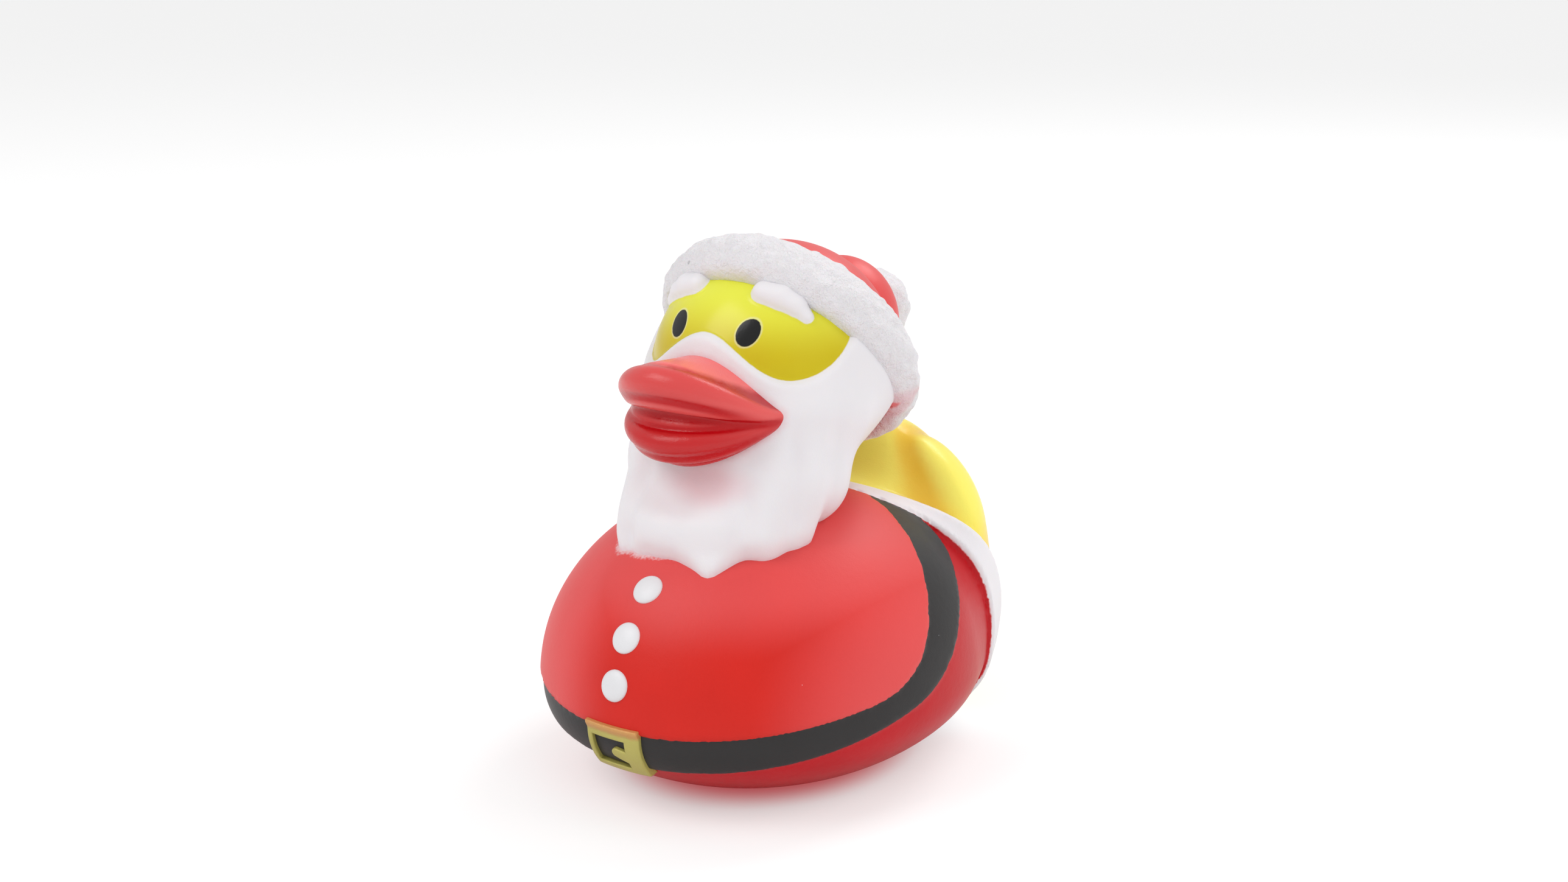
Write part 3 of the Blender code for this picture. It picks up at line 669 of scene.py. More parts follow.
def moulded(name, form, low, high, cell, lumps=(), share=None):
    """A smooth mesh object on a form, with lumps as (size, height) raised along its normals by a share."""
    p, faces = net(form, low, high, cell)
    for again in range(PROJECTIONS):
        normal, distance = slope_of(form, p)
        p = p - normal * np.clip(distance, -cell / 2, cell / 2)[:, None]
    normal = slope_of(form, p)[0]
    if share:
        normal = normal * share(p)[:, None]
    for seed, (size, height) in enumerate(lumps):
        p = p + normal * (rough_noise(p, size, seed + 1) * height)[:, None]
    mesh = bpy.data.meshes.new(name)
    mesh.from_pydata(p.tolist(), [], faces.tolist())
    mesh.validate()
    mesh.shade_smooth()
    piece = bpy.data.objects.new(name, mesh)
    bpy.context.scene.collection.objects.link(piece)
    return piece, p


def store(piece, **values):
    """Keeps distances on the vertices in millimetres, for the paints to read."""
    for name, value in values.items():
        layer = piece.data.attributes.new(name, "FLOAT", "POINT")
        layer.data.foreach_set("value", (np.asarray(value) / MM).astype(np.float32))


def finish_piece(piece, material):
    piece.data.materials.clear()
    piece.data.materials.append(material)
    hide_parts(NODE)
    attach(piece, BODY)
    return piece


# Shader helpers

def socket(node, name):
    for item in node.inputs:
        if item.enabled and name in (item.name, item.identifier):
            return item
    raise KeyError(f"{node.bl_idname} has no input {name}")


def plug(tree, item, value):
    """Links a socket to an input, or gives the input a value."""
    if isinstance(value, bpy.types.NodeSocket):
        tree.links.new(value, item)
    elif item.type == "RGBA":
        item.default_value = (*value[:3], 1.0)
    else:
        item.default_value = value


def add(tree, kind, props=None, **inputs):
    """Adds a node. An input's spaces are written as underscores, and it takes a value or a socket."""
    node = tree.nodes.new(kind)
    for key, value in (props or {}).items():
        setattr(node, key, value)
    for key, value in inputs.items():
        plug(tree, socket(node, key.replace("_", " ")), value)
    return node


def maths(tree, operation, a, b=0.0):
    node = tree.nodes.new("ShaderNodeMath")
    node.operation = operation
    for item, value in zip(node.inputs, (a, b)):
        plug(tree, item, value)
    return node.outputs[0]


def ramp(tree, value, low, high, start=0.0, end=1.0):
    """Goes smoothly from start to end while the value goes from low to high."""
    return add(tree, "ShaderNodeMapRange", {"interpolation_type": "SMOOTHSTEP"}, Value=value, From_Min=low,
               From_Max=high, To_Min=start, To_Max=end).outputs[0]


def blend_colour(tree, factor, a, b):
    node = tree.nodes.new("ShaderNodeMix")
    node.data_type = "RGBA"
    for item, value in zip((node.inputs[0], node.inputs[6], node.inputs[7]), (factor, a, b)):
        plug(tree, item, value)
    return node.outputs[2]


def tinted(tree, colour, mask, share, tint):
    """Lays a tint over a colour, by a share of a mask."""
    return blend_colour(tree, maths(tree, "MULTIPLY", mask, share), colour, tint)


def blend_value(tree, factor, a, b):
    node = tree.nodes.new("ShaderNodeMix")
    for item, value in zip((node.inputs[0], node.inputs[2], node.inputs[3]), (factor, a, b)):
        plug(tree, item, value)
    return node.outputs[0]


def paint_shader(tree, shader, **values):
    """Gives the paint's shader its values and sockets, with an input's spaces written as underscores."""
    for key, value in values.items():
        plug(tree, shader.inputs[key.replace("_", " ")], value)


def kept(tree, name):
    """A value kept on the vertices."""
    return add(tree, "ShaderNodeAttribute", {"attribute_name": name}).outputs["Fac"]


def object_place(tree):
    """Place on the object, in millimetres."""
    place = add(tree, "ShaderNodeTexCoord").outputs["Object"]
    return add(tree, "ShaderNodeVectorMath", {"operation": "SCALE"}, Vector=place, Scale=1 / MM).outputs[0]


def make_group(name, inputs, outputs):
    """An empty shader group with float inputs (name: default) and outputs."""
    group = bpy.data.node_groups.new(name, "ShaderNodeTree")
    for key, value in inputs.items():
        item = group.interface.new_socket(key, in_out="INPUT", socket_type="NodeSocketFloat")
        item.default_value = value
    for key in outputs:
        group.interface.new_socket(key, in_out="OUTPUT", socket_type="NodeSocketFloat")
    return group, group.nodes.new("NodeGroupInput"), group.nodes.new("NodeGroupOutput")


def paint_edge_group():
    """Turns a kept distance into a paint mask whose edge wanders a little, as sprayed through a mask."""
    group, given, result = make_group(
        "paint_edge", {"Distance": 0.0, "Softness": 0.15, "Wander": 0.1, "Grain": 1.2}, ["Mask"])
    place = object_place(group)
    wander = add(group, "ShaderNodeTexNoise", Vector=place, Scale=given.outputs["Grain"], Detail=3.0)
    sway = maths(group, "SUBTRACT", wander.outputs[0], 0.5)
    shift = maths(group, "MULTIPLY", sway, given.outputs["Wander"])
    moved = maths(group, "ADD", given.outputs["Distance"], maths(group, "MULTIPLY", shift, 2.0))
    share = maths(group, "DIVIDE", moved, given.outputs["Softness"])
    group.links.new(ramp(group, share, -0.5, 0.5), result.inputs["Mask"])
    return group


def moulded_grain_group():
    """Skin of a moulded vinyl toy: slow waves, an orange-peel skin and a fine grain."""
    group, given, result = make_group(
        "moulded_grain", {"Waves": 0.5, "Peel": 0.3, "Grain": 0.15}, ["Height", "Tone"])
    place = object_place(group)
    waves = add(group, "ShaderNodeTexNoise", Vector=place, Scale=0.12, Detail=2.0)
    peel = add(group, "ShaderNodeTexNoise", Vector=place, Scale=0.9, Detail=3.0)
    grain = add(group, "ShaderNodeTexNoise", Vector=place, Scale=5.0, Detail=2.0)
    height = maths(group, "MULTIPLY", waves.outputs[0], given.outputs["Waves"])
    height = maths(group, "ADD", height, maths(group, "MULTIPLY", peel.outputs[0], given.outputs["Peel"]))
    height = maths(group, "ADD", height, maths(group, "MULTIPLY", grain.outputs[0], given.outputs["Grain"]))
    group.links.new(height, result.inputs["Height"])
    group.links.new(waves.outputs[0], result.inputs["Tone"])
    return group


def specks_group():
    """Scattered small specks: a share of the cells carries one, of a size in millimetres."""
    group, given, result = make_group(
        "specks", {"Spacing": 4.0, "Size": 0.12, "Share": 0.3}, ["Mask"])
    place = object_place(group)
    scale = maths(group, "DIVIDE", 1.0, given.outputs["Spacing"])
    cells = add(group, "ShaderNodeTexVoronoi", Vector=place, Scale=scale)
    reach = maths(group, "DIVIDE", given.outputs["Size"], given.outputs["Spacing"])
    hit = maths(group, "LESS_THAN", cells.outputs["Distance"], reach)
    chance = add(group, "ShaderNodeSeparateColor", Color=cells.outputs["Color"]).outputs[0]
    chosen = maths(group, "LESS_THAN", chance, given.outputs["Share"])
    group.links.new(maths(group, "MULTIPLY", hit, chosen), result.inputs["Mask"])
    return group


def fleece_group():
    """Modelled fleece: rounded lumps with small pits between them."""
    group, given, result = make_group("fleece", {"Scale": 0.6, "Pits": 0.5}, ["Height"])
    place = object_place(group)
    warp = add(group, "ShaderNodeTexNoise", Vector=place, Scale=0.35, Detail=2.0)
    sway = add(group, "ShaderNodeVectorMath", {"operation": "SCALE"}, Vector=warp.outputs["Color"],
               Scale=2.5)
    bent = add(group, "ShaderNodeVectorMath", {"operation": "ADD"}, Vector=place)
    group.links.new(sway.outputs[0], bent.inputs[1])
    lumps = add(group, "ShaderNodeTexVoronoi", {"feature": "SMOOTH_F1"}, Vector=bent.outputs[0],
                Scale=given.outputs["Scale"])
    fine = add(group, "ShaderNodeTexNoise", Vector=place, Scale=2.2, Detail=4.0)
    height = maths(group, "SUBTRACT", 1.0, lumps.outputs["Distance"])
    pits = maths(group, "MULTIPLY", fine.outputs[0], given.outputs["Pits"])
    group.links.new(maths(group, "ADD", height, pits), result.inputs["Height"])
    return group


GROUP_MAKERS = {
    "paint_edge": paint_edge_group,
    "moulded_grain": moulded_grain_group,
    "specks": specks_group,
    "fleece": fleece_group,
}


def effect(tree, name, **inputs):
    """Places one of the shared effects in a material."""
    group = bpy.data.node_groups.get(name) or GROUP_MAKERS[name]()
    node = tree.nodes.new("ShaderNodeGroup")
    node.node_tree = group
    for key, value in inputs.items():
        plug(tree, node.inputs[key], value)
    return node


def begin_material(name):
    material = bpy.data.materials.new(name)
    material.use_nodes = True
    tree = material.node_tree
    return material, tree, tree.nodes["Principled BSDF"]


def masked(tree, name, softness=0.15, wander=0.1, grain=1.2):
    """Mask of the paint whose distance is kept on the vertices under this name."""
    return effect(tree, "paint_edge", Distance=kept(tree, name), Softness=softness, Wander=wander,
                  Grain=grain).outputs["Mask"]


def rise_share(tree, low, high):
    """From 0 at the low height to 1 at the high one, in millimetres over the base."""
    height = add(tree, "ShaderNodeSeparateXYZ", Vector=object_place(tree)).outputs["Z"]
    return ramp(tree, height, low, high)


def raise_surface(tree, shader, height, distance, strength=1.0):
    bump = add(tree, "ShaderNodeBump", Strength=strength, Distance=distance, Height=height)
    tree.links.new(bump.outputs[0], shader.inputs["Normal"])


def toned(tree, colour, share, depth):
    """A paint that is slightly deeper where the share is low: in the slow patches of the grain, and as
    painted shade in the fleece's pits.
    """
    deep = tuple(channel * (1 - depth) for channel in colour[:3])
    return blend_colour(tree, share, deep, colour)


# Materials

def coat_material():
    """Red coat and skirt, black belt, white hem and glossy yellow back, painted on one moulding."""
    s = settings()
    material, tree, shader = begin_material("coat_paint")
    grain = effect(tree, "moulded_grain", Waves=0.6, Peel=0.35, Grain=0.2)
    tone = grain.outputs["Tone"]
    belt = masked(tree, "belt", 0.12, 0.05)
    hem = masked(tree, "hem", 0.15, 0.12)
    back = masked(tree, "back", 0.15, 0.12)
    skirt = masked(tree, "skirt", 0.3, 0.0)
    colour = toned(tree, s.coat_red, tone, 0.12)
    # Painted highlight: the coat's red goes paler high on the coat and out towards its flanks
    shoulder_highlight = maths(tree, "MULTIPLY", rise_share(tree, *SHOULDER_HIGHLIGHT_RISE), 0.5)
    aside = add(tree, "ShaderNodeSeparateXYZ", Vector=object_place(tree)).outputs["X"]
    rightward = maths(tree, "MULTIPLY", aside, -1.0)
    leftward = maths(tree, "SUBTRACT", aside, FLANK_HIGHLIGHT_START)
    flank_highlight = ramp(tree, maths(tree, "MAXIMUM", rightward, leftward), 0.0, FLANK_HIGHLIGHT_FADE, 0.0, 0.62)
    colour = blend_colour(tree, maths(tree, "MAXIMUM", shoulder_highlight, flank_highlight), colour, s.highlight_and_bleed_red)
    colour = blend_colour(tree, skirt, colour, toned(tree, s.skirt_red, tone, 0.15))
    spray = masked(tree, "spray", 0.9, 0.7, 2.2)
    colour = tinted(tree, colour, spray, 0.6, s.beard_white)
    shade = masked(tree, "belt_shade", 1.6, 0.1)
    colour = tinted(tree, colour, shade, 0.35, s.skirt_red)
    black = toned(tree, s.belt_black, tone, 0.2)
    specks = effect(tree, "specks", Spacing=3.1, Size=0.1, Share=0.16).outputs["Mask"]
    black = tinted(tree, black, specks, 0.5, s.beard_white)
    colour = blend_colour(tree, belt, colour, black)
    colour = blend_colour(tree, hem, colour, toned(tree, s.beard_white, tone, 0.05))
    # Painted highlight: the back and tail take a brighter lemon than the face, though both are the same
    # yellow vinyl
    yellow = toned(tree, s.tail_highlight_lemon, tone, 0.05)
    # Painted shade: orange in the tail's flutes, where the grooves lie in shade
    yellow = tinted(tree, yellow, masked(tree, "flute", 1.7, 0.1), 0.7, s.flute_orange)
    colour = blend_colour(tree, back, colour, yellow)
    dust = effect(tree, "specks", Spacing=2.3, Size=0.08, Share=0.12).outputs["Mask"]
    colour = tinted(tree, colour, dust, 0.35, s.beard_white)
    rough = blend_value(tree, skirt, 0.46, 0.34)
    rough = blend_value(tree, belt, rough, 0.42)
    rough = blend_value(tree, hem, rough, 0.5)
    rough = blend_value(tree, back, rough, 0.27)
    paint_shader(tree, shader, Base_Color=colour, Roughness=rough, Specular_IOR_Level=0.24,
                 Subsurface_Weight=0.06, Subsurface_Radius=(1.0, 0.4, 0.2), Subsurface_Scale=0.002)
    raise_surface(tree, shader, grain.outputs["Height"], 0.25 * MM, 0.35)
    return material


def head_material():
    """White beard and brows, glossy yellow face, black eyes and the red of the neck, on one moulding."""
    s = settings()
    material, tree, shader = begin_material("face_and_beard_paint")
    grain = effect(tree, "moulded_grain", Waves=0.6, Peel=0.4, Grain=0.2)
    tone = grain.outputs["Tone"]
    white = masked(tree, "white", 0.3, 0.1)
    red = masked(tree, "neck", 0.3, 0.1)
    eye = masked(tree, "eye", 0.12, 0.04, 2.0)
    ring = masked(tree, "eye_ring", 0.2, 0.06, 2.0)
    colour = toned(tree, s.vinyl_yellow, tone, 0.06)
    # Painted highlight: the face's yellow goes to a paler lemon towards the top of the head
    colour = blend_colour(tree, rise_share(tree, *FOREHEAD_HIGHLIGHT_RISE), colour, s.forehead_highlight_lemon)
    colour = tinted(tree, colour, ring, 0.35, s.eye_rim_pale)
    colour = blend_colour(tree, eye, colour, s.eye_black)
    beard_colour = toned(tree, s.beard_white, tone, 0.05)
    # Pink on the beard beside the bill: partly red overspray, partly painted red light reflected from the
    # bill
    blush = effect(tree, "paint_edge", Distance=maths(tree, "SUBTRACT", 0.35, kept(tree, "near_bill")),
                   Softness=1.6, Wander=0.5, Grain=0.8).outputs["Mask"]
    beard_colour = tinted(tree, beard_colour, blush, 0.5, s.blush_pink)
    # Pink on the beard beside the coat: partly red overspray, partly painted red light reflected from the
    # coat
    low_blush = effect(tree, "paint_edge", Distance=maths(tree, "SUBTRACT", 0.3, kept(tree, "near_coat")),
                       Softness=1.4, Wander=0.5, Grain=1.0).outputs["Mask"]
    beard_colour = tinted(tree, beard_colour, low_blush, 0.4, s.blush_pink)
    # Painted shade: a soft pink shadow on the beard under the bill, with the bill's red reflected in it
    under = effect(tree, "paint_edge", Distance=kept(tree, "under_bill"), Softness=6.0, Wander=0.4,
                   Grain=0.5).outputs["Mask"]
    beard_colour = tinted(tree, beard_colour, under, 0.5, s.blush_pink)
    colour = blend_colour(tree, white, colour, beard_colour)
    colour = blend_colour(tree, red, colour, s.skirt_red)
    specks = effect(tree, "specks", Spacing=6.5, Size=0.16, Share=0.2).outputs["Mask"]
    colour = tinted(tree, colour, specks, 0.45, s.belt_black)
    rough = blend_value(tree, white, 0.24, 0.48)
    rough = blend_value(tree, eye, rough, 0.16)
    paint_shader(tree, shader, Base_Color=colour, Roughness=rough, Specular_IOR_Level=0.34,
                 Subsurface_Weight=0.08, Subsurface_Radius=(1.0, 0.7, 0.4), Subsurface_Scale=0.002)
    height = maths(tree, "MULTIPLY", grain.outputs["Height"], blend_value(tree, white, 0.4, 1.0))
    raise_surface(tree, shader, height, 0.25 * MM, 0.35)
    return material


def bill_material():
    """Deep red satin paint on the bill, with painted highlights in coral along its crests and over its
    saddle by the root, and a few white flecks.
    """
    s = settings()
    material, tree, shader = begin_material("bill_paint")
    grain = effect(tree, "moulded_grain", Waves=0.7, Peel=0.5, Grain=0.25)
    colour = toned(tree, s.bill_red, grain.outputs["Tone"], 0.2)
    # Painted highlight: coral along the crests, strong on the upper bill and faint on the lower
    crest = ramp(tree, kept(tree, "crest"), 0.0, 0.16)
    upper = blend_value(tree, rise_share(tree, *UPPER_BILL_HIGHLIGHT_RISE), 0.12, 0.75)
    colour = tinted(tree, colour, crest, upper, s.bill_highlight_coral)
    # Painted highlight: coral over the bill's upper saddle near its root
    root = masked(tree, "root", 3.0, 0.8, 0.5)
    colour = tinted(tree, colour, root, 0.85, s.bill_highlight_coral)
    specks = effect(tree, "specks", Spacing=1.6, Size=0.09, Share=0.2).outputs["Mask"]
    specks = maths(tree, "MULTIPLY", specks, maths(tree, "MULTIPLY", crest, 0.7))
    colour = blend_colour(tree, specks, colour, s.beard_white)
    paint_shader(tree, shader, Base_Color=colour, Roughness=0.24, Specular_IOR_Level=0.35,
                 Subsurface_Weight=0.05, Subsurface_Scale=0.0015)
    raise_surface(tree, shader, grain.outputs["Height"], 0.22 * MM, 0.5)
    return material


def fleece_material():
    """Matt white paint over modelled fleece, a little greyer in its pits as painted shade, and pink beside
    the beard: partly red showing where the white did not reach, partly painted shade.
    """
    s = settings()
    material, tree, shader = begin_material("fleece_paint")
    fleece = effect(tree, "fleece", Scale=0.55, Pits=0.6)
    grain = effect(tree, "moulded_grain", Waves=0.3, Peel=0.5, Grain=0.4)
    # Painted shade: the white goes a little greyer in the fleece's pits
    colour = toned(tree, s.beard_white, fleece.outputs["Height"], 0.08)
    # Pink beside the beard at the nape: partly red showing where the white did not reach, partly painted
    # shade
    colour = tinted(tree, colour, masked(tree, "blush", 2.2, 0.4), 0.5, s.blush_pink)
    colour = tinted(tree, colour, masked(tree, "bleed", 0.6, 0.2), 0.85, s.highlight_and_bleed_red)
    smudge = effect(tree, "specks", Spacing=9.0, Size=0.35, Share=0.16).outputs["Mask"]
    colour = tinted(tree, colour, smudge, 0.35, s.belt_black)
    paint_shader(tree, shader, Base_Color=colour, Roughness=0.55, Subsurface_Weight=0.08,
                 Subsurface_Scale=0.002)
    height = maths(tree, "ADD", fleece.outputs["Height"], grain.outputs["Height"])
    raise_surface(tree, shader, height, 0.5 * MM, 0.95)
    return material


def crown_material():
    """Red paint of the hat's crown, satin, with the slow waves of the moulding, and made paler all over as
    a painted highlight.
    """
    s = settings()
    material, tree, shader = begin_material("crown_paint")
    grain = effect(tree, "moulded_grain", Waves=0.8, Peel=0.4, Grain=0.2)
    # Painted highlight: the crown's red is mixed with the paler red all over
    colour = blend_colour(tree, 0.45, toned(tree, s.coat_red, grain.outputs["Tone"], 0.12), s.highlight_and_bleed_red)
    paint_shader(tree, shader, Base_Color=colour, Roughness=0.42)
    raise_surface(tree, shader, grain.outputs["Height"], 0.25 * MM, 0.4)
    return material


def button_material():
    """White satin paint of the domed buttons."""
    s = settings()
    material, tree, shader = begin_material("button_paint")
    grain = effect(tree, "moulded_grain", Waves=0.3, Peel=0.4, Grain=0.3)
    colour = toned(tree, s.button_white, grain.outputs["Tone"], 0.06)
    paint_shader(tree, shader, Base_Color=colour, Roughness=0.4)
    raise_surface(tree, shader, grain.outputs["Height"], 0.2 * MM, 0.4)
    return material


def buckle_material():
    """Gold paint on the moulded buckle, warmer where the coat's red shows through its top bar."""
    s = settings()
    material, tree, shader = begin_material("buckle_paint")
    grain = effect(tree, "moulded_grain", Waves=0.4, Peel=0.6, Grain=0.6)
    colour = toned(tree, s.buckle_gold, grain.outputs["Tone"], 0.2)
    colour = tinted(tree, colour, masked(tree, "top_bar", 1.0, 0.3), 0.85, s.buckle_orange)
    paint_shader(tree, shader, Base_Color=colour, Roughness=0.42, Metallic=0.25)
    raise_surface(tree, shader, grain.outputs["Height"], 0.2 * MM, 0.5)
    return material


def colour_property(name, description, default):
    return FloatVectorProperty(name=name, description=description, subtype="COLOR", size=3, min=0.0,
                               max=1.0, default=default)


def length_property(name, description, default):
    return FloatProperty(name=name, description=description, default=default, min=0.0,
                         unit="LENGTH", subtype="DISTANCE", precision=5)


class BathDuckSettings(PropertyGroup):
    """Sizes and colours of the duck."""
    coat_red: colour_property("Coat", "Red of the coat and the hat", (0.70, 0.019, 0.011))
    # Paler red: painted highlight on the coat's shoulders, flanks and crown, and also the red that bleeds
    # onto the trim at the nape
    highlight_and_bleed_red: colour_property("Shoulders", "Paler red high on the coat", (0.83, 0.125, 0.13))
    skirt_red: colour_property("Skirt", "Deeper red under the belt", (0.56, 0.004, 0.010))
    vinyl_yellow: colour_property("Vinyl", "Yellow of the face and the back", (0.64, 0.51, 0.003))
    # Paler lemon as a painted highlight high on the face
    forehead_highlight_lemon: colour_property("Forehead", "Lemon high on the face", (0.82, 0.84, 0.06))
    # Brighter lemon as a painted highlight on the back and tail, which are the face's yellow vinyl
    tail_highlight_lemon: colour_property("Tail", "Lemon of the back and the tail", (1.0, 0.93, 0.17))
    # Orange of the painted shade in the tail's flutes
    flute_orange: colour_property("Flutes", "Orange in the tail's flutes", (0.88, 0.50, 0.02))
    beard_white: colour_property("Beard", "White of the beard, brows, hem and fleece", (0.84, 0.815, 0.84))
    button_white: colour_property("Buttons", "White of the buttons", (0.80, 0.80, 0.82))
    # Pink of red overspray, and of painted shade and reflected red light beside the red parts
    blush_pink: colour_property("Blush", "Pink where red paint meets the beard", (0.80, 0.42, 0.46))
    eye_rim_pale: colour_property("Eye rims", "Pale rim round the eyes", (0.85, 0.85, 0.70))
    belt_black: colour_property("Belt", "Black of the belt", (0.034, 0.032, 0.032))
    eye_black: colour_property("Eyes", "Black of the eyes", (0.008, 0.008, 0.008))
    buckle_gold: colour_property("Buckle", "Gold of the buckle", (0.56, 0.50, 0.13))
    buckle_orange: colour_property("Buckle's top bar", "Orange on the buckle's top bar", (0.66, 0.30, 0.10))
    bill_red: colour_property("Bill", "Deep red of the bill", (0.57, 0.003, 0.007))
    # Coral of the painted highlights on the bill's crests and saddle
    bill_highlight_coral: colour_property("Bill's crests", "Coral along the bill's crests", (1.0, 0.19, 0.18))
    # Red of the painted shadow and reflection on the floor beside the duck
    floor_blush: colour_property("Floor", "Tint of the floor beside the duck", (0.92, 0.20, 0.22))
    coat_cell: length_property("Coat net", "Cell of the net that makes the coat", 0.65 * MM)
    head_cell: length_property("Head net", "Cell of the net that makes the head", 0.5 * MM)
    bill_cell: length_property("Bill net", "Cell of the net that makes the bill", 0.3 * MM)
    fleece_cell: length_property("Fleece net", "Cell of the net that makes the trim", 0.42 * MM)
    buckle_cell: length_property("Buckle net", "Cell of the net that makes the buckle", 0.16 * MM)
    fleece_depth: length_property("Fleece depth", "Height of the fleece's lumps", 0.42 * MM)
    button_diameter: length_property("Button diameter", "Width of a button", 4.9 * MM)
    button_rise: length_property("Button rise", "How far a button stands out", 0.9 * MM)
    buckle_rise: length_property("Buckle rise", "How far the buckle stands on the belt", 0.7 * MM)


class DUCK_OT_coat(Operator):
    """Makes the body: coat, belt, hem, back and tail in one moulding"""
    bl_idname = "bath_duck.coat"
    bl_label = "Coat and Tail"

    def execute(self, context):
        wide = BODY_WIDTH / 2 + NET_MARGIN
        low = (-wide, -BODY_FRONT - NET_MARGIN, -BASE_MARGIN)
        high = (wide, TAIL_CENTRE[1] + TAIL_BACK + NET_MARGIN, TAIL_CENTRE[2] + TAIL_RISE + NET_MARGIN)
        piece, p = moulded("coat_and_tail", coat_form, low, high, settings().coat_cell)
        top, low_edge, hem, outer = coat_lines(p)
        store(piece,
              belt=np.minimum(np.minimum(-top, low_edge), hem),
              belt_shade=np.minimum(low_edge + BELT_SHADE_REACH, hem) * np.where(top > 0, -1, 1),
              skirt=np.minimum(-low_edge, hem),
              hem=np.minimum(-hem, outer),
              back=-outer,
              flute=-flute_relief(p) * FLUTE_SHADE_SCALE - FLUTE_SHADE_START,
              spray=SPRAY_REACH - beard(p) - np.maximum(p[:, 0] - SPRAY_FADE_X, 0) * SPRAY_FADE)
        finish_piece(piece, coat_material())
        return {"FINISHED"}


class DUCK_OT_head(Operator):
    """Makes the head: face, eyes, brows, moustache, beard and neck in one moulding"""
    bl_idname = "bath_duck.head"
    bl_label = "Head and Beard"

    def execute(self, context):
        wide = HEAD_WIDTH / 2 + 2 * NET_MARGIN
        low = (-wide, -BEARD_NET_FRONT, BODY_MIDDLE - 1 * MM)
        high = (wide, HEAD_CENTRE[1] + HEAD_BACK + SMALL_MARGIN, HEAD_CENTRE[2] + HEAD_RISE + SMALL_MARGIN)
        piece, p = moulded("head_and_beard", head_form, low, high, settings().head_cell)
        cheek, whiskers, hair, throat = skull(p), beard(p), brow(p), neck(p)
        behind = np.minimum(-run_side(p, NAPE_LINE), whiskers - cheek)
        across = (np.abs(p[:, 0]) - EYE_X) / (EYE_WIDTH / 2)
        up = (p[:, 2] - EYE_Z) / (EYE_HEIGHT / 2)
        off_eye = np.hypot(across, up) + np.where(p[:, 1] > HEAD_CENTRE[1], 9, 0)
        eye = (1 - off_eye) * EYE_WIDTH / 2
        off_shade = (p - np.asarray(UNDER_BILL_SHADE)) * UNDER_BILL_SHADE_SQUASH
        store(piece,
              white=np.minimum(cheek, throat) - np.minimum(whiskers, hair),
              neck=np.maximum(np.minimum(np.minimum(cheek, whiskers), hair) - throat, behind),
              eye=eye,
              eye_ring=eye + EYE_RIM,
              near_bill=bill(p),
              under_bill=UNDER_BILL_SHADE_REACH - np.linalg.norm(off_shade, axis=-1),
              near_coat=body(p))
        finish_piece(piece, head_material())
        return {"FINISHED"}


class DUCK_OT_bill(Operator):
    """Makes the bill, whose rolls all end at its two corners"""
    bl_idname = "bath_duck.bill"
    bl_label = "Bill"

    def execute(self, context):
        wide = BILL_HALF_WIDTH + NET_MARGIN
        low = (-wide, BILL_AXIS_Y - BILL_NET_LENGTH, BILL_NET_RISE[0])
        high = (wide, BILL_AXIS_Y + 2 * BILL_ROOT, BILL_NET_RISE[1])
        piece, p = moulded("bill", bill_form, low, high, settings().bill_cell)
        reach = np.hypot(p[:, 0], BILL_AXIS_Y - p[:, 1])
        store(piece,
              crest=rounding(bill, p, CREST_SPREAD),
              root=(p[:, 2] - BILL_ROOT_HIGHLIGHT_Z) + (BILL_ROOT_HIGHLIGHT_REACH - reach))
        finish_piece(piece, bill_material())
        return {"FINISHED"}


class DUCK_OT_hat(Operator):
    """Makes the hat: fleece trim, crown and bobble"""
    bl_idname = "bath_duck.hat"
    bl_label = "Hat"

    def execute(self, context):
        s = settings()
        fleece = fleece_material()
        reach = TRIM_RADIUS[0] + TRIM_THICKNESS + SMALL_MARGIN
        centre = np.array(HEAD_CENTRE)
        lumps = ((FLEECE_LUMP, s.fleece_depth), (FLEECE_TUFT, s.fleece_depth * TUFT_SHARE))
        low, high = centre - reach, centre + reach + (0, 6 * MM, 0)
        piece, p = moulded("hat_trim", trim, low, high, s.fleece_cell, lumps, trim_share)
        behind = np.minimum(p[:, 1] - NAPE_PAINT_Y, NAPE_PAINT_Z - p[:, 2])
        store(piece,
              bleed=np.minimum(NAPE_RED_REACH - beard(p), behind),
              blush=np.minimum(NAPE_PINK_REACH - beard(p), behind + NAPE_PINK_EASE))
        finish_piece(piece, fleece)
        half = np.array((CROWN_WIDTH / 2, CROWN_DEPTH / 2, CROWN_HEIGHT / 2)) + SMALL_MARGIN
        centre = np.array(CROWN_CENTRE)
        high = centre + half
        high[1] = max(high[1], DROOP_CENTRE[1] + DROOP_DEPTH / 2 + SMALL_MARGIN)
        piece, p = moulded("hat_crown", crown, centre - half, high, s.coat_cell)
        finish_piece(piece, crown_material())
        centre = np.array(BOBBLE_CENTRE)
        half = BOBBLE_DIAMETER / 2 + SMALL_MARGIN
        piece, p = moulded("hat_bobble", bobble, centre - half, centre + half, s.fleece_cell, lumps)
        store(piece, bleed=-beard(p), blush=-beard(p))
        finish_piece(piece, fleece)
        return {"FINISHED"}


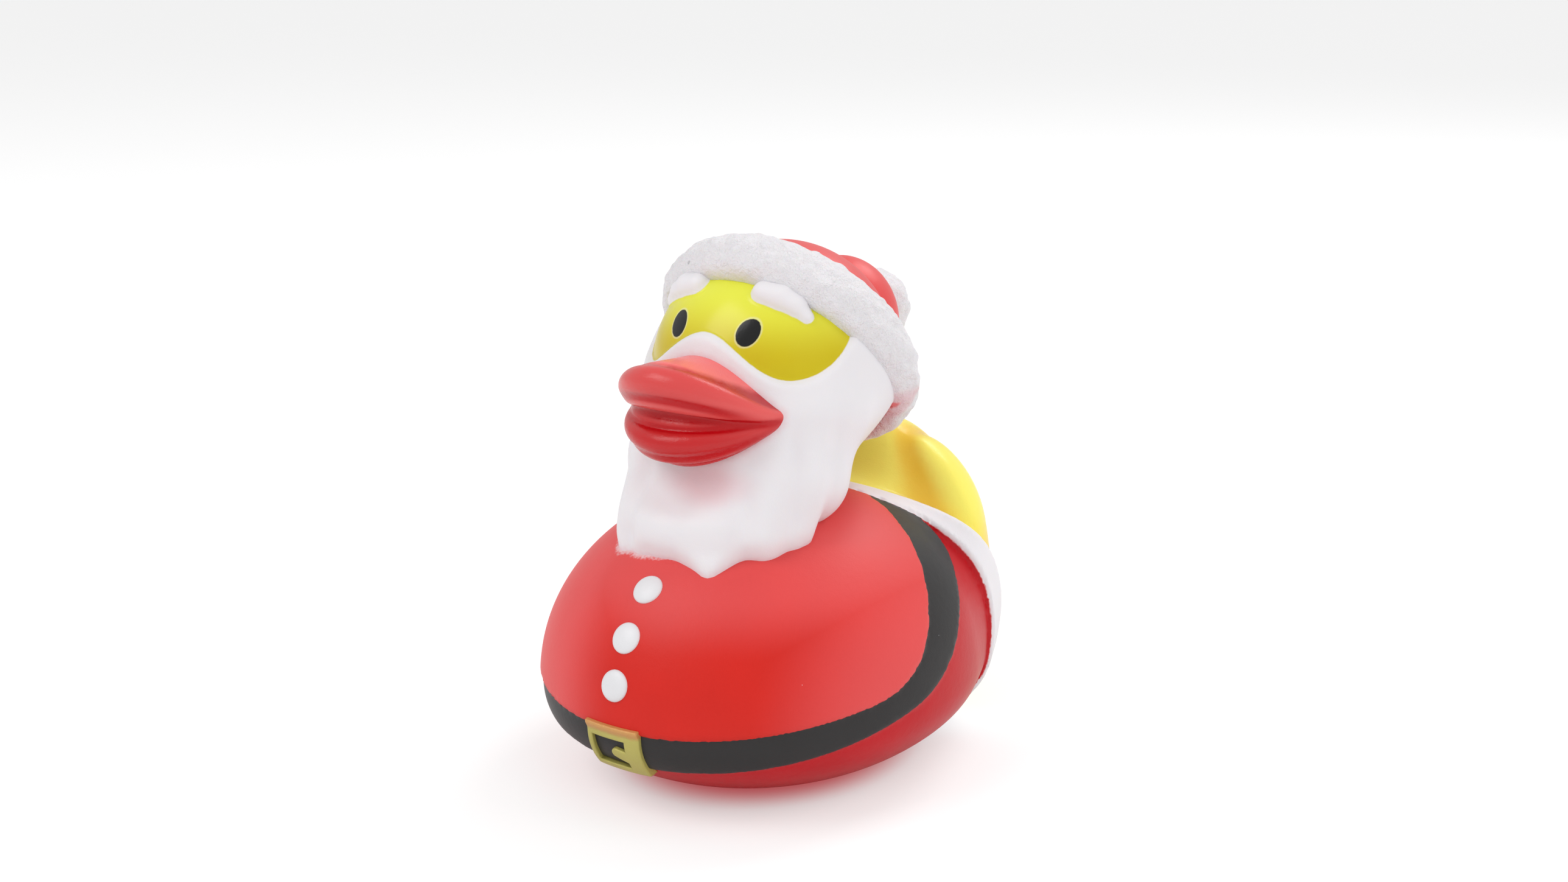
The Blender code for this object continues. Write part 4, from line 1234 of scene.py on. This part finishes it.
def button_tree(diameter, rise, material):
    """Geometry nodes that set a domed button on each point, turned to the point's normal."""
    tree = bpy.data.node_groups.new("buttons", "GeometryNodeTree")
    face = tree.interface
    face.new_socket("Geometry", in_out="INPUT", socket_type="NodeSocketGeometry")
    for name, value in (("Diameter", diameter), ("Rise", rise)):
        face.new_socket(name, in_out="INPUT", socket_type="NodeSocketFloat").default_value = value
    face.new_socket("Geometry", in_out="OUTPUT", socket_type="NodeSocketGeometry")
    given = tree.nodes.new("NodeGroupInput")
    result = tree.nodes.new("NodeGroupOutput")
    ball = add(tree, "GeometryNodeMeshUVSphere", Segments=32, Rings=20, Radius=0.5)
    size = add(tree, "ShaderNodeCombineXYZ", X=given.outputs["Diameter"], Y=given.outputs["Diameter"],
               Z=maths(tree, "MULTIPLY", given.outputs["Rise"], 2.0))
    dome = add(tree, "GeometryNodeTransform", Geometry=ball.outputs["Mesh"], Scale=size.outputs[0])
    normal = add(tree, "GeometryNodeInputNormal")
    turn = add(tree, "FunctionNodeAlignRotationToVector", {"axis": "Z"}, Vector=normal.outputs[0])
    placed = add(tree, "GeometryNodeInstanceOnPoints", Points=given.outputs["Geometry"],
                 Instance=dome.outputs["Geometry"], Rotation=turn.outputs["Rotation"])
    real = add(tree, "GeometryNodeRealizeInstances", Geometry=placed.outputs["Instances"])
    smooth = add(tree, "GeometryNodeSetShadeSmooth", Geometry=real.outputs["Geometry"])
    paint = add(tree, "GeometryNodeSetMaterial", Geometry=smooth.outputs["Geometry"], Material=material)
    tree.links.new(paint.outputs["Geometry"], result.inputs["Geometry"])
    return tree


class DUCK_OT_buttons(Operator):
    """Sets the three domed buttons down the front of the coat"""
    bl_idname = "bath_duck.buttons"
    bl_label = "Buttons"

    def execute(self, context):
        s = settings()
        gap = BUTTON_SLOPE_GAP
        mesh = bpy.data.meshes.new("coat_buttons")
        vertices, faces = [], []
        for z in BUTTON_Z:
            along = Vector((0, chest_y(z + gap) - chest_y(z - gap), 2 * gap)).normalized()
            out = Vector((0, -along.z, along.y))
            centre = Vector((0, chest_y(z), z)) + out * (COAT_OVERHANG - BUTTON_SINK)
            start = len(vertices)
            side = Vector((1, 0, 0))
            for turn in range(3):
                spoke = Matrix.Rotation(math.radians(120 * turn), 3, out) @ side
                vertices.append(centre + spoke * PROBE)
            faces.append((start, start + 1, start + 2))
        mesh.from_pydata(vertices, [], faces)
        holder = bpy.data.objects.new("coat_buttons", mesh)
        context.scene.collection.objects.link(holder)
        material = button_material()
        modifier = holder.modifiers.new("buttons", "NODES")
        modifier.node_group = button_tree(s.button_diameter, s.button_rise, material)
        graph = context.evaluated_depsgraph_get()
        baked = bpy.data.meshes.new_from_object(holder.evaluated_get(graph))
        holder.modifiers.remove(modifier)
        holder.data = baked
        finish_piece(holder, material)
        return {"FINISHED"}


class DUCK_OT_buckle(Operator):
    """Makes the gold buckle, a frame with a prong, on the front of the belt"""
    bl_idname = "bath_duck.buckle"
    bl_label = "Buckle"

    def execute(self, context):
        wide = BUCKLE_WIDTH / 2 + 1 * MM
        low = (-wide, -BODY_FRONT - 3.5 * MM, BUCKLE_NET_RISE[0])
        high = (wide, -BODY_FRONT + 2 * NET_MARGIN, BUCKLE_NET_RISE[1])
        piece, p = moulded("buckle", buckle_form, low, high, settings().buckle_cell)
        store(piece, top_bar=coat_lines(p)[0] + TOP_BAR_REACH)
        finish_piece(piece, buckle_material())
        return {"FINISHED"}


class DUCK_OT_stage(Operator):
    """Makes the pale floor, the lamps and the camera"""
    bl_idname = "bath_duck.stage"
    bl_label = "Stage"

    def execute(self, context):
        scene = context.scene
        scene.view_settings.view_transform = "Standard"
        mesh = bpy.data.meshes.new("floor")
        corners = [(x * FLOOR_REACH, y * FLOOR_REACH, 0) for x, y in ((-1, -1), (1, -1), (1, 1), (-1, 1))]
        mesh.from_pydata(corners, [], [(0, 1, 2, 3)])
        floor = bpy.data.objects.new("floor", mesh)
        scene.collection.objects.link(floor)
        mesh.materials.append(floor_material())
        self.light_world(scene)
        for lamp in LAMPS:
            self.add_lamp(*lamp)
        camera = bpy.data.cameras.new("camera")
        camera.sensor_fit = "HORIZONTAL"
        camera.sensor_width = SENSOR_WIDTH
        camera.lens = SENSOR_WIDTH * LENS_PIXELS / PICTURE_WIDTH
        camera.clip_start = 0.01
        holder = bpy.data.objects.new("camera", camera)
        place = Vector(CAMERA_PLACE)
        aim = Vector(CAMERA_AIM)
        holder.location = place
        holder.rotation_euler = (aim - place).to_track_quat("-Z", "Y").to_euler()
        scene.collection.objects.link(holder)
        scene.camera = holder
        return {"FINISHED"}

    def light_world(self, scene):
        """A soft even room light that the camera sees as white."""
        world = bpy.data.worlds.new("room")
        world.use_nodes = True
        tree = world.node_tree
        background = tree.nodes["Background"]
        seen = add(tree, "ShaderNodeLightPath")
        shown = maths(tree, "MAXIMUM", seen.outputs["Is Camera Ray"], seen.outputs["Is Transmission Ray"])
        strength = blend_value(tree, shown, ROOM_LIGHT, 1.0)
        background.inputs["Color"].default_value = (1, 1, 1, 1)
        tree.links.new(strength, background.inputs["Strength"])
        scene.world = world

    def add_lamp(self, name, place, size, power, mirrored):
        lamp = bpy.data.lights.new(name, "AREA")
        lamp.energy = power
        lamp.size = size
        holder = bpy.data.objects.new(name, lamp)
        holder.location = place
        holder.visible_glossy = mirrored
        holder.rotation_euler = (Vector(LAMP_AIM) - Vector(place)).to_track_quat("-Z", "Y").to_euler()
        bpy.context.scene.collection.objects.link(holder)


def floor_material():
    """White floor, bright to the camera, with a soft painted shadow near the duck: its glow is weaker there
    and tinted red, as a painted reflection of the duck's red.
    """
    material, tree, shader = begin_material("floor_paint")
    place = add(tree, "ShaderNodeTexCoord").outputs["Object"]
    off = add(tree, "ShaderNodeVectorMath", {"operation": "MULTIPLY"}, Vector=place)
    off.inputs[1].default_value = (2 / BODY_WIDTH, 1 / BODY_BACK, 0)
    length = add(tree, "ShaderNodeVectorMath", {"operation": "LENGTH"}, Vector=off.outputs[0])
    reach = length.outputs["Value"]
    # Painted shadow near the duck: the floor is tinted red there and takes less glow, as a painted red
    # reflection
    near = ramp(tree, reach, 0.5, 0.76, 1.0, 0.0)
    lit = ramp(tree, reach, 0.55, 0.9, 0.30, 0.41)
    colour = blend_colour(tree, near, FLOOR_WHITE, settings().floor_blush)
    paint_shader(tree, shader, Base_Color=colour, Roughness=0.7, Specular_IOR_Level=0.1)
    seen = add(tree, "ShaderNodeLightPath")
    shown = maths(tree, "MAXIMUM", seen.outputs["Is Camera Ray"], seen.outputs["Is Transmission Ray"])
    glow_colour = blend_colour(tree, near, (1.0, 1.0, 1.0), settings().floor_blush)
    glow = add(tree, "ShaderNodeEmission", Color=glow_colour, Strength=FLOOR_GLOW)
    share = maths(tree, "MULTIPLY", shown, lit)
    mix = tree.nodes.new("ShaderNodeMixShader")
    tree.links.new(share, mix.inputs[0])
    tree.links.new(shader.outputs[0], mix.inputs[1])
    tree.links.new(glow.outputs[0], mix.inputs[2])
    tree.links.new(mix.outputs[0], tree.nodes["Material Output"].inputs["Surface"])
    return material


class DUCK_PT_panel(Panel):
    """Lists the duck's pieces in the sidebar"""
    bl_label = "Bath Duck"
    bl_idname = "DUCK_PT_panel"
    bl_space_type = "VIEW_3D"
    bl_region_type = "UI"
    bl_category = "Duck"

    def draw(self, context):
        column = self.layout.column()
        for operator in OPERATORS:
            column.operator(operator.bl_idname)
        for name in BathDuckSettings.__annotations__:
            column.prop(context.scene.bath_duck, name)


OPERATORS = (DUCK_OT_stage, DUCK_OT_coat, DUCK_OT_head, DUCK_OT_bill, DUCK_OT_hat, DUCK_OT_buttons,
             DUCK_OT_buckle)
CLASSES = (BathDuckSettings, *OPERATORS, DUCK_PT_panel)


def register():
    for item in CLASSES:
        bpy.utils.register_class(item)
    bpy.types.Scene.bath_duck = PointerProperty(type=BathDuckSettings)


def unregister():
    del bpy.types.Scene.bath_duck
    for item in reversed(CLASSES):
        bpy.utils.unregister_class(item)


def main():
    register()
    bpy.ops.bath_duck.stage()
    bpy.ops.bath_duck.coat()
    bpy.ops.bath_duck.head()
    bpy.ops.bath_duck.bill()
    bpy.ops.bath_duck.hat()
    bpy.ops.bath_duck.buttons()
    bpy.ops.bath_duck.buckle()


if __name__ == "__main__":
    main()
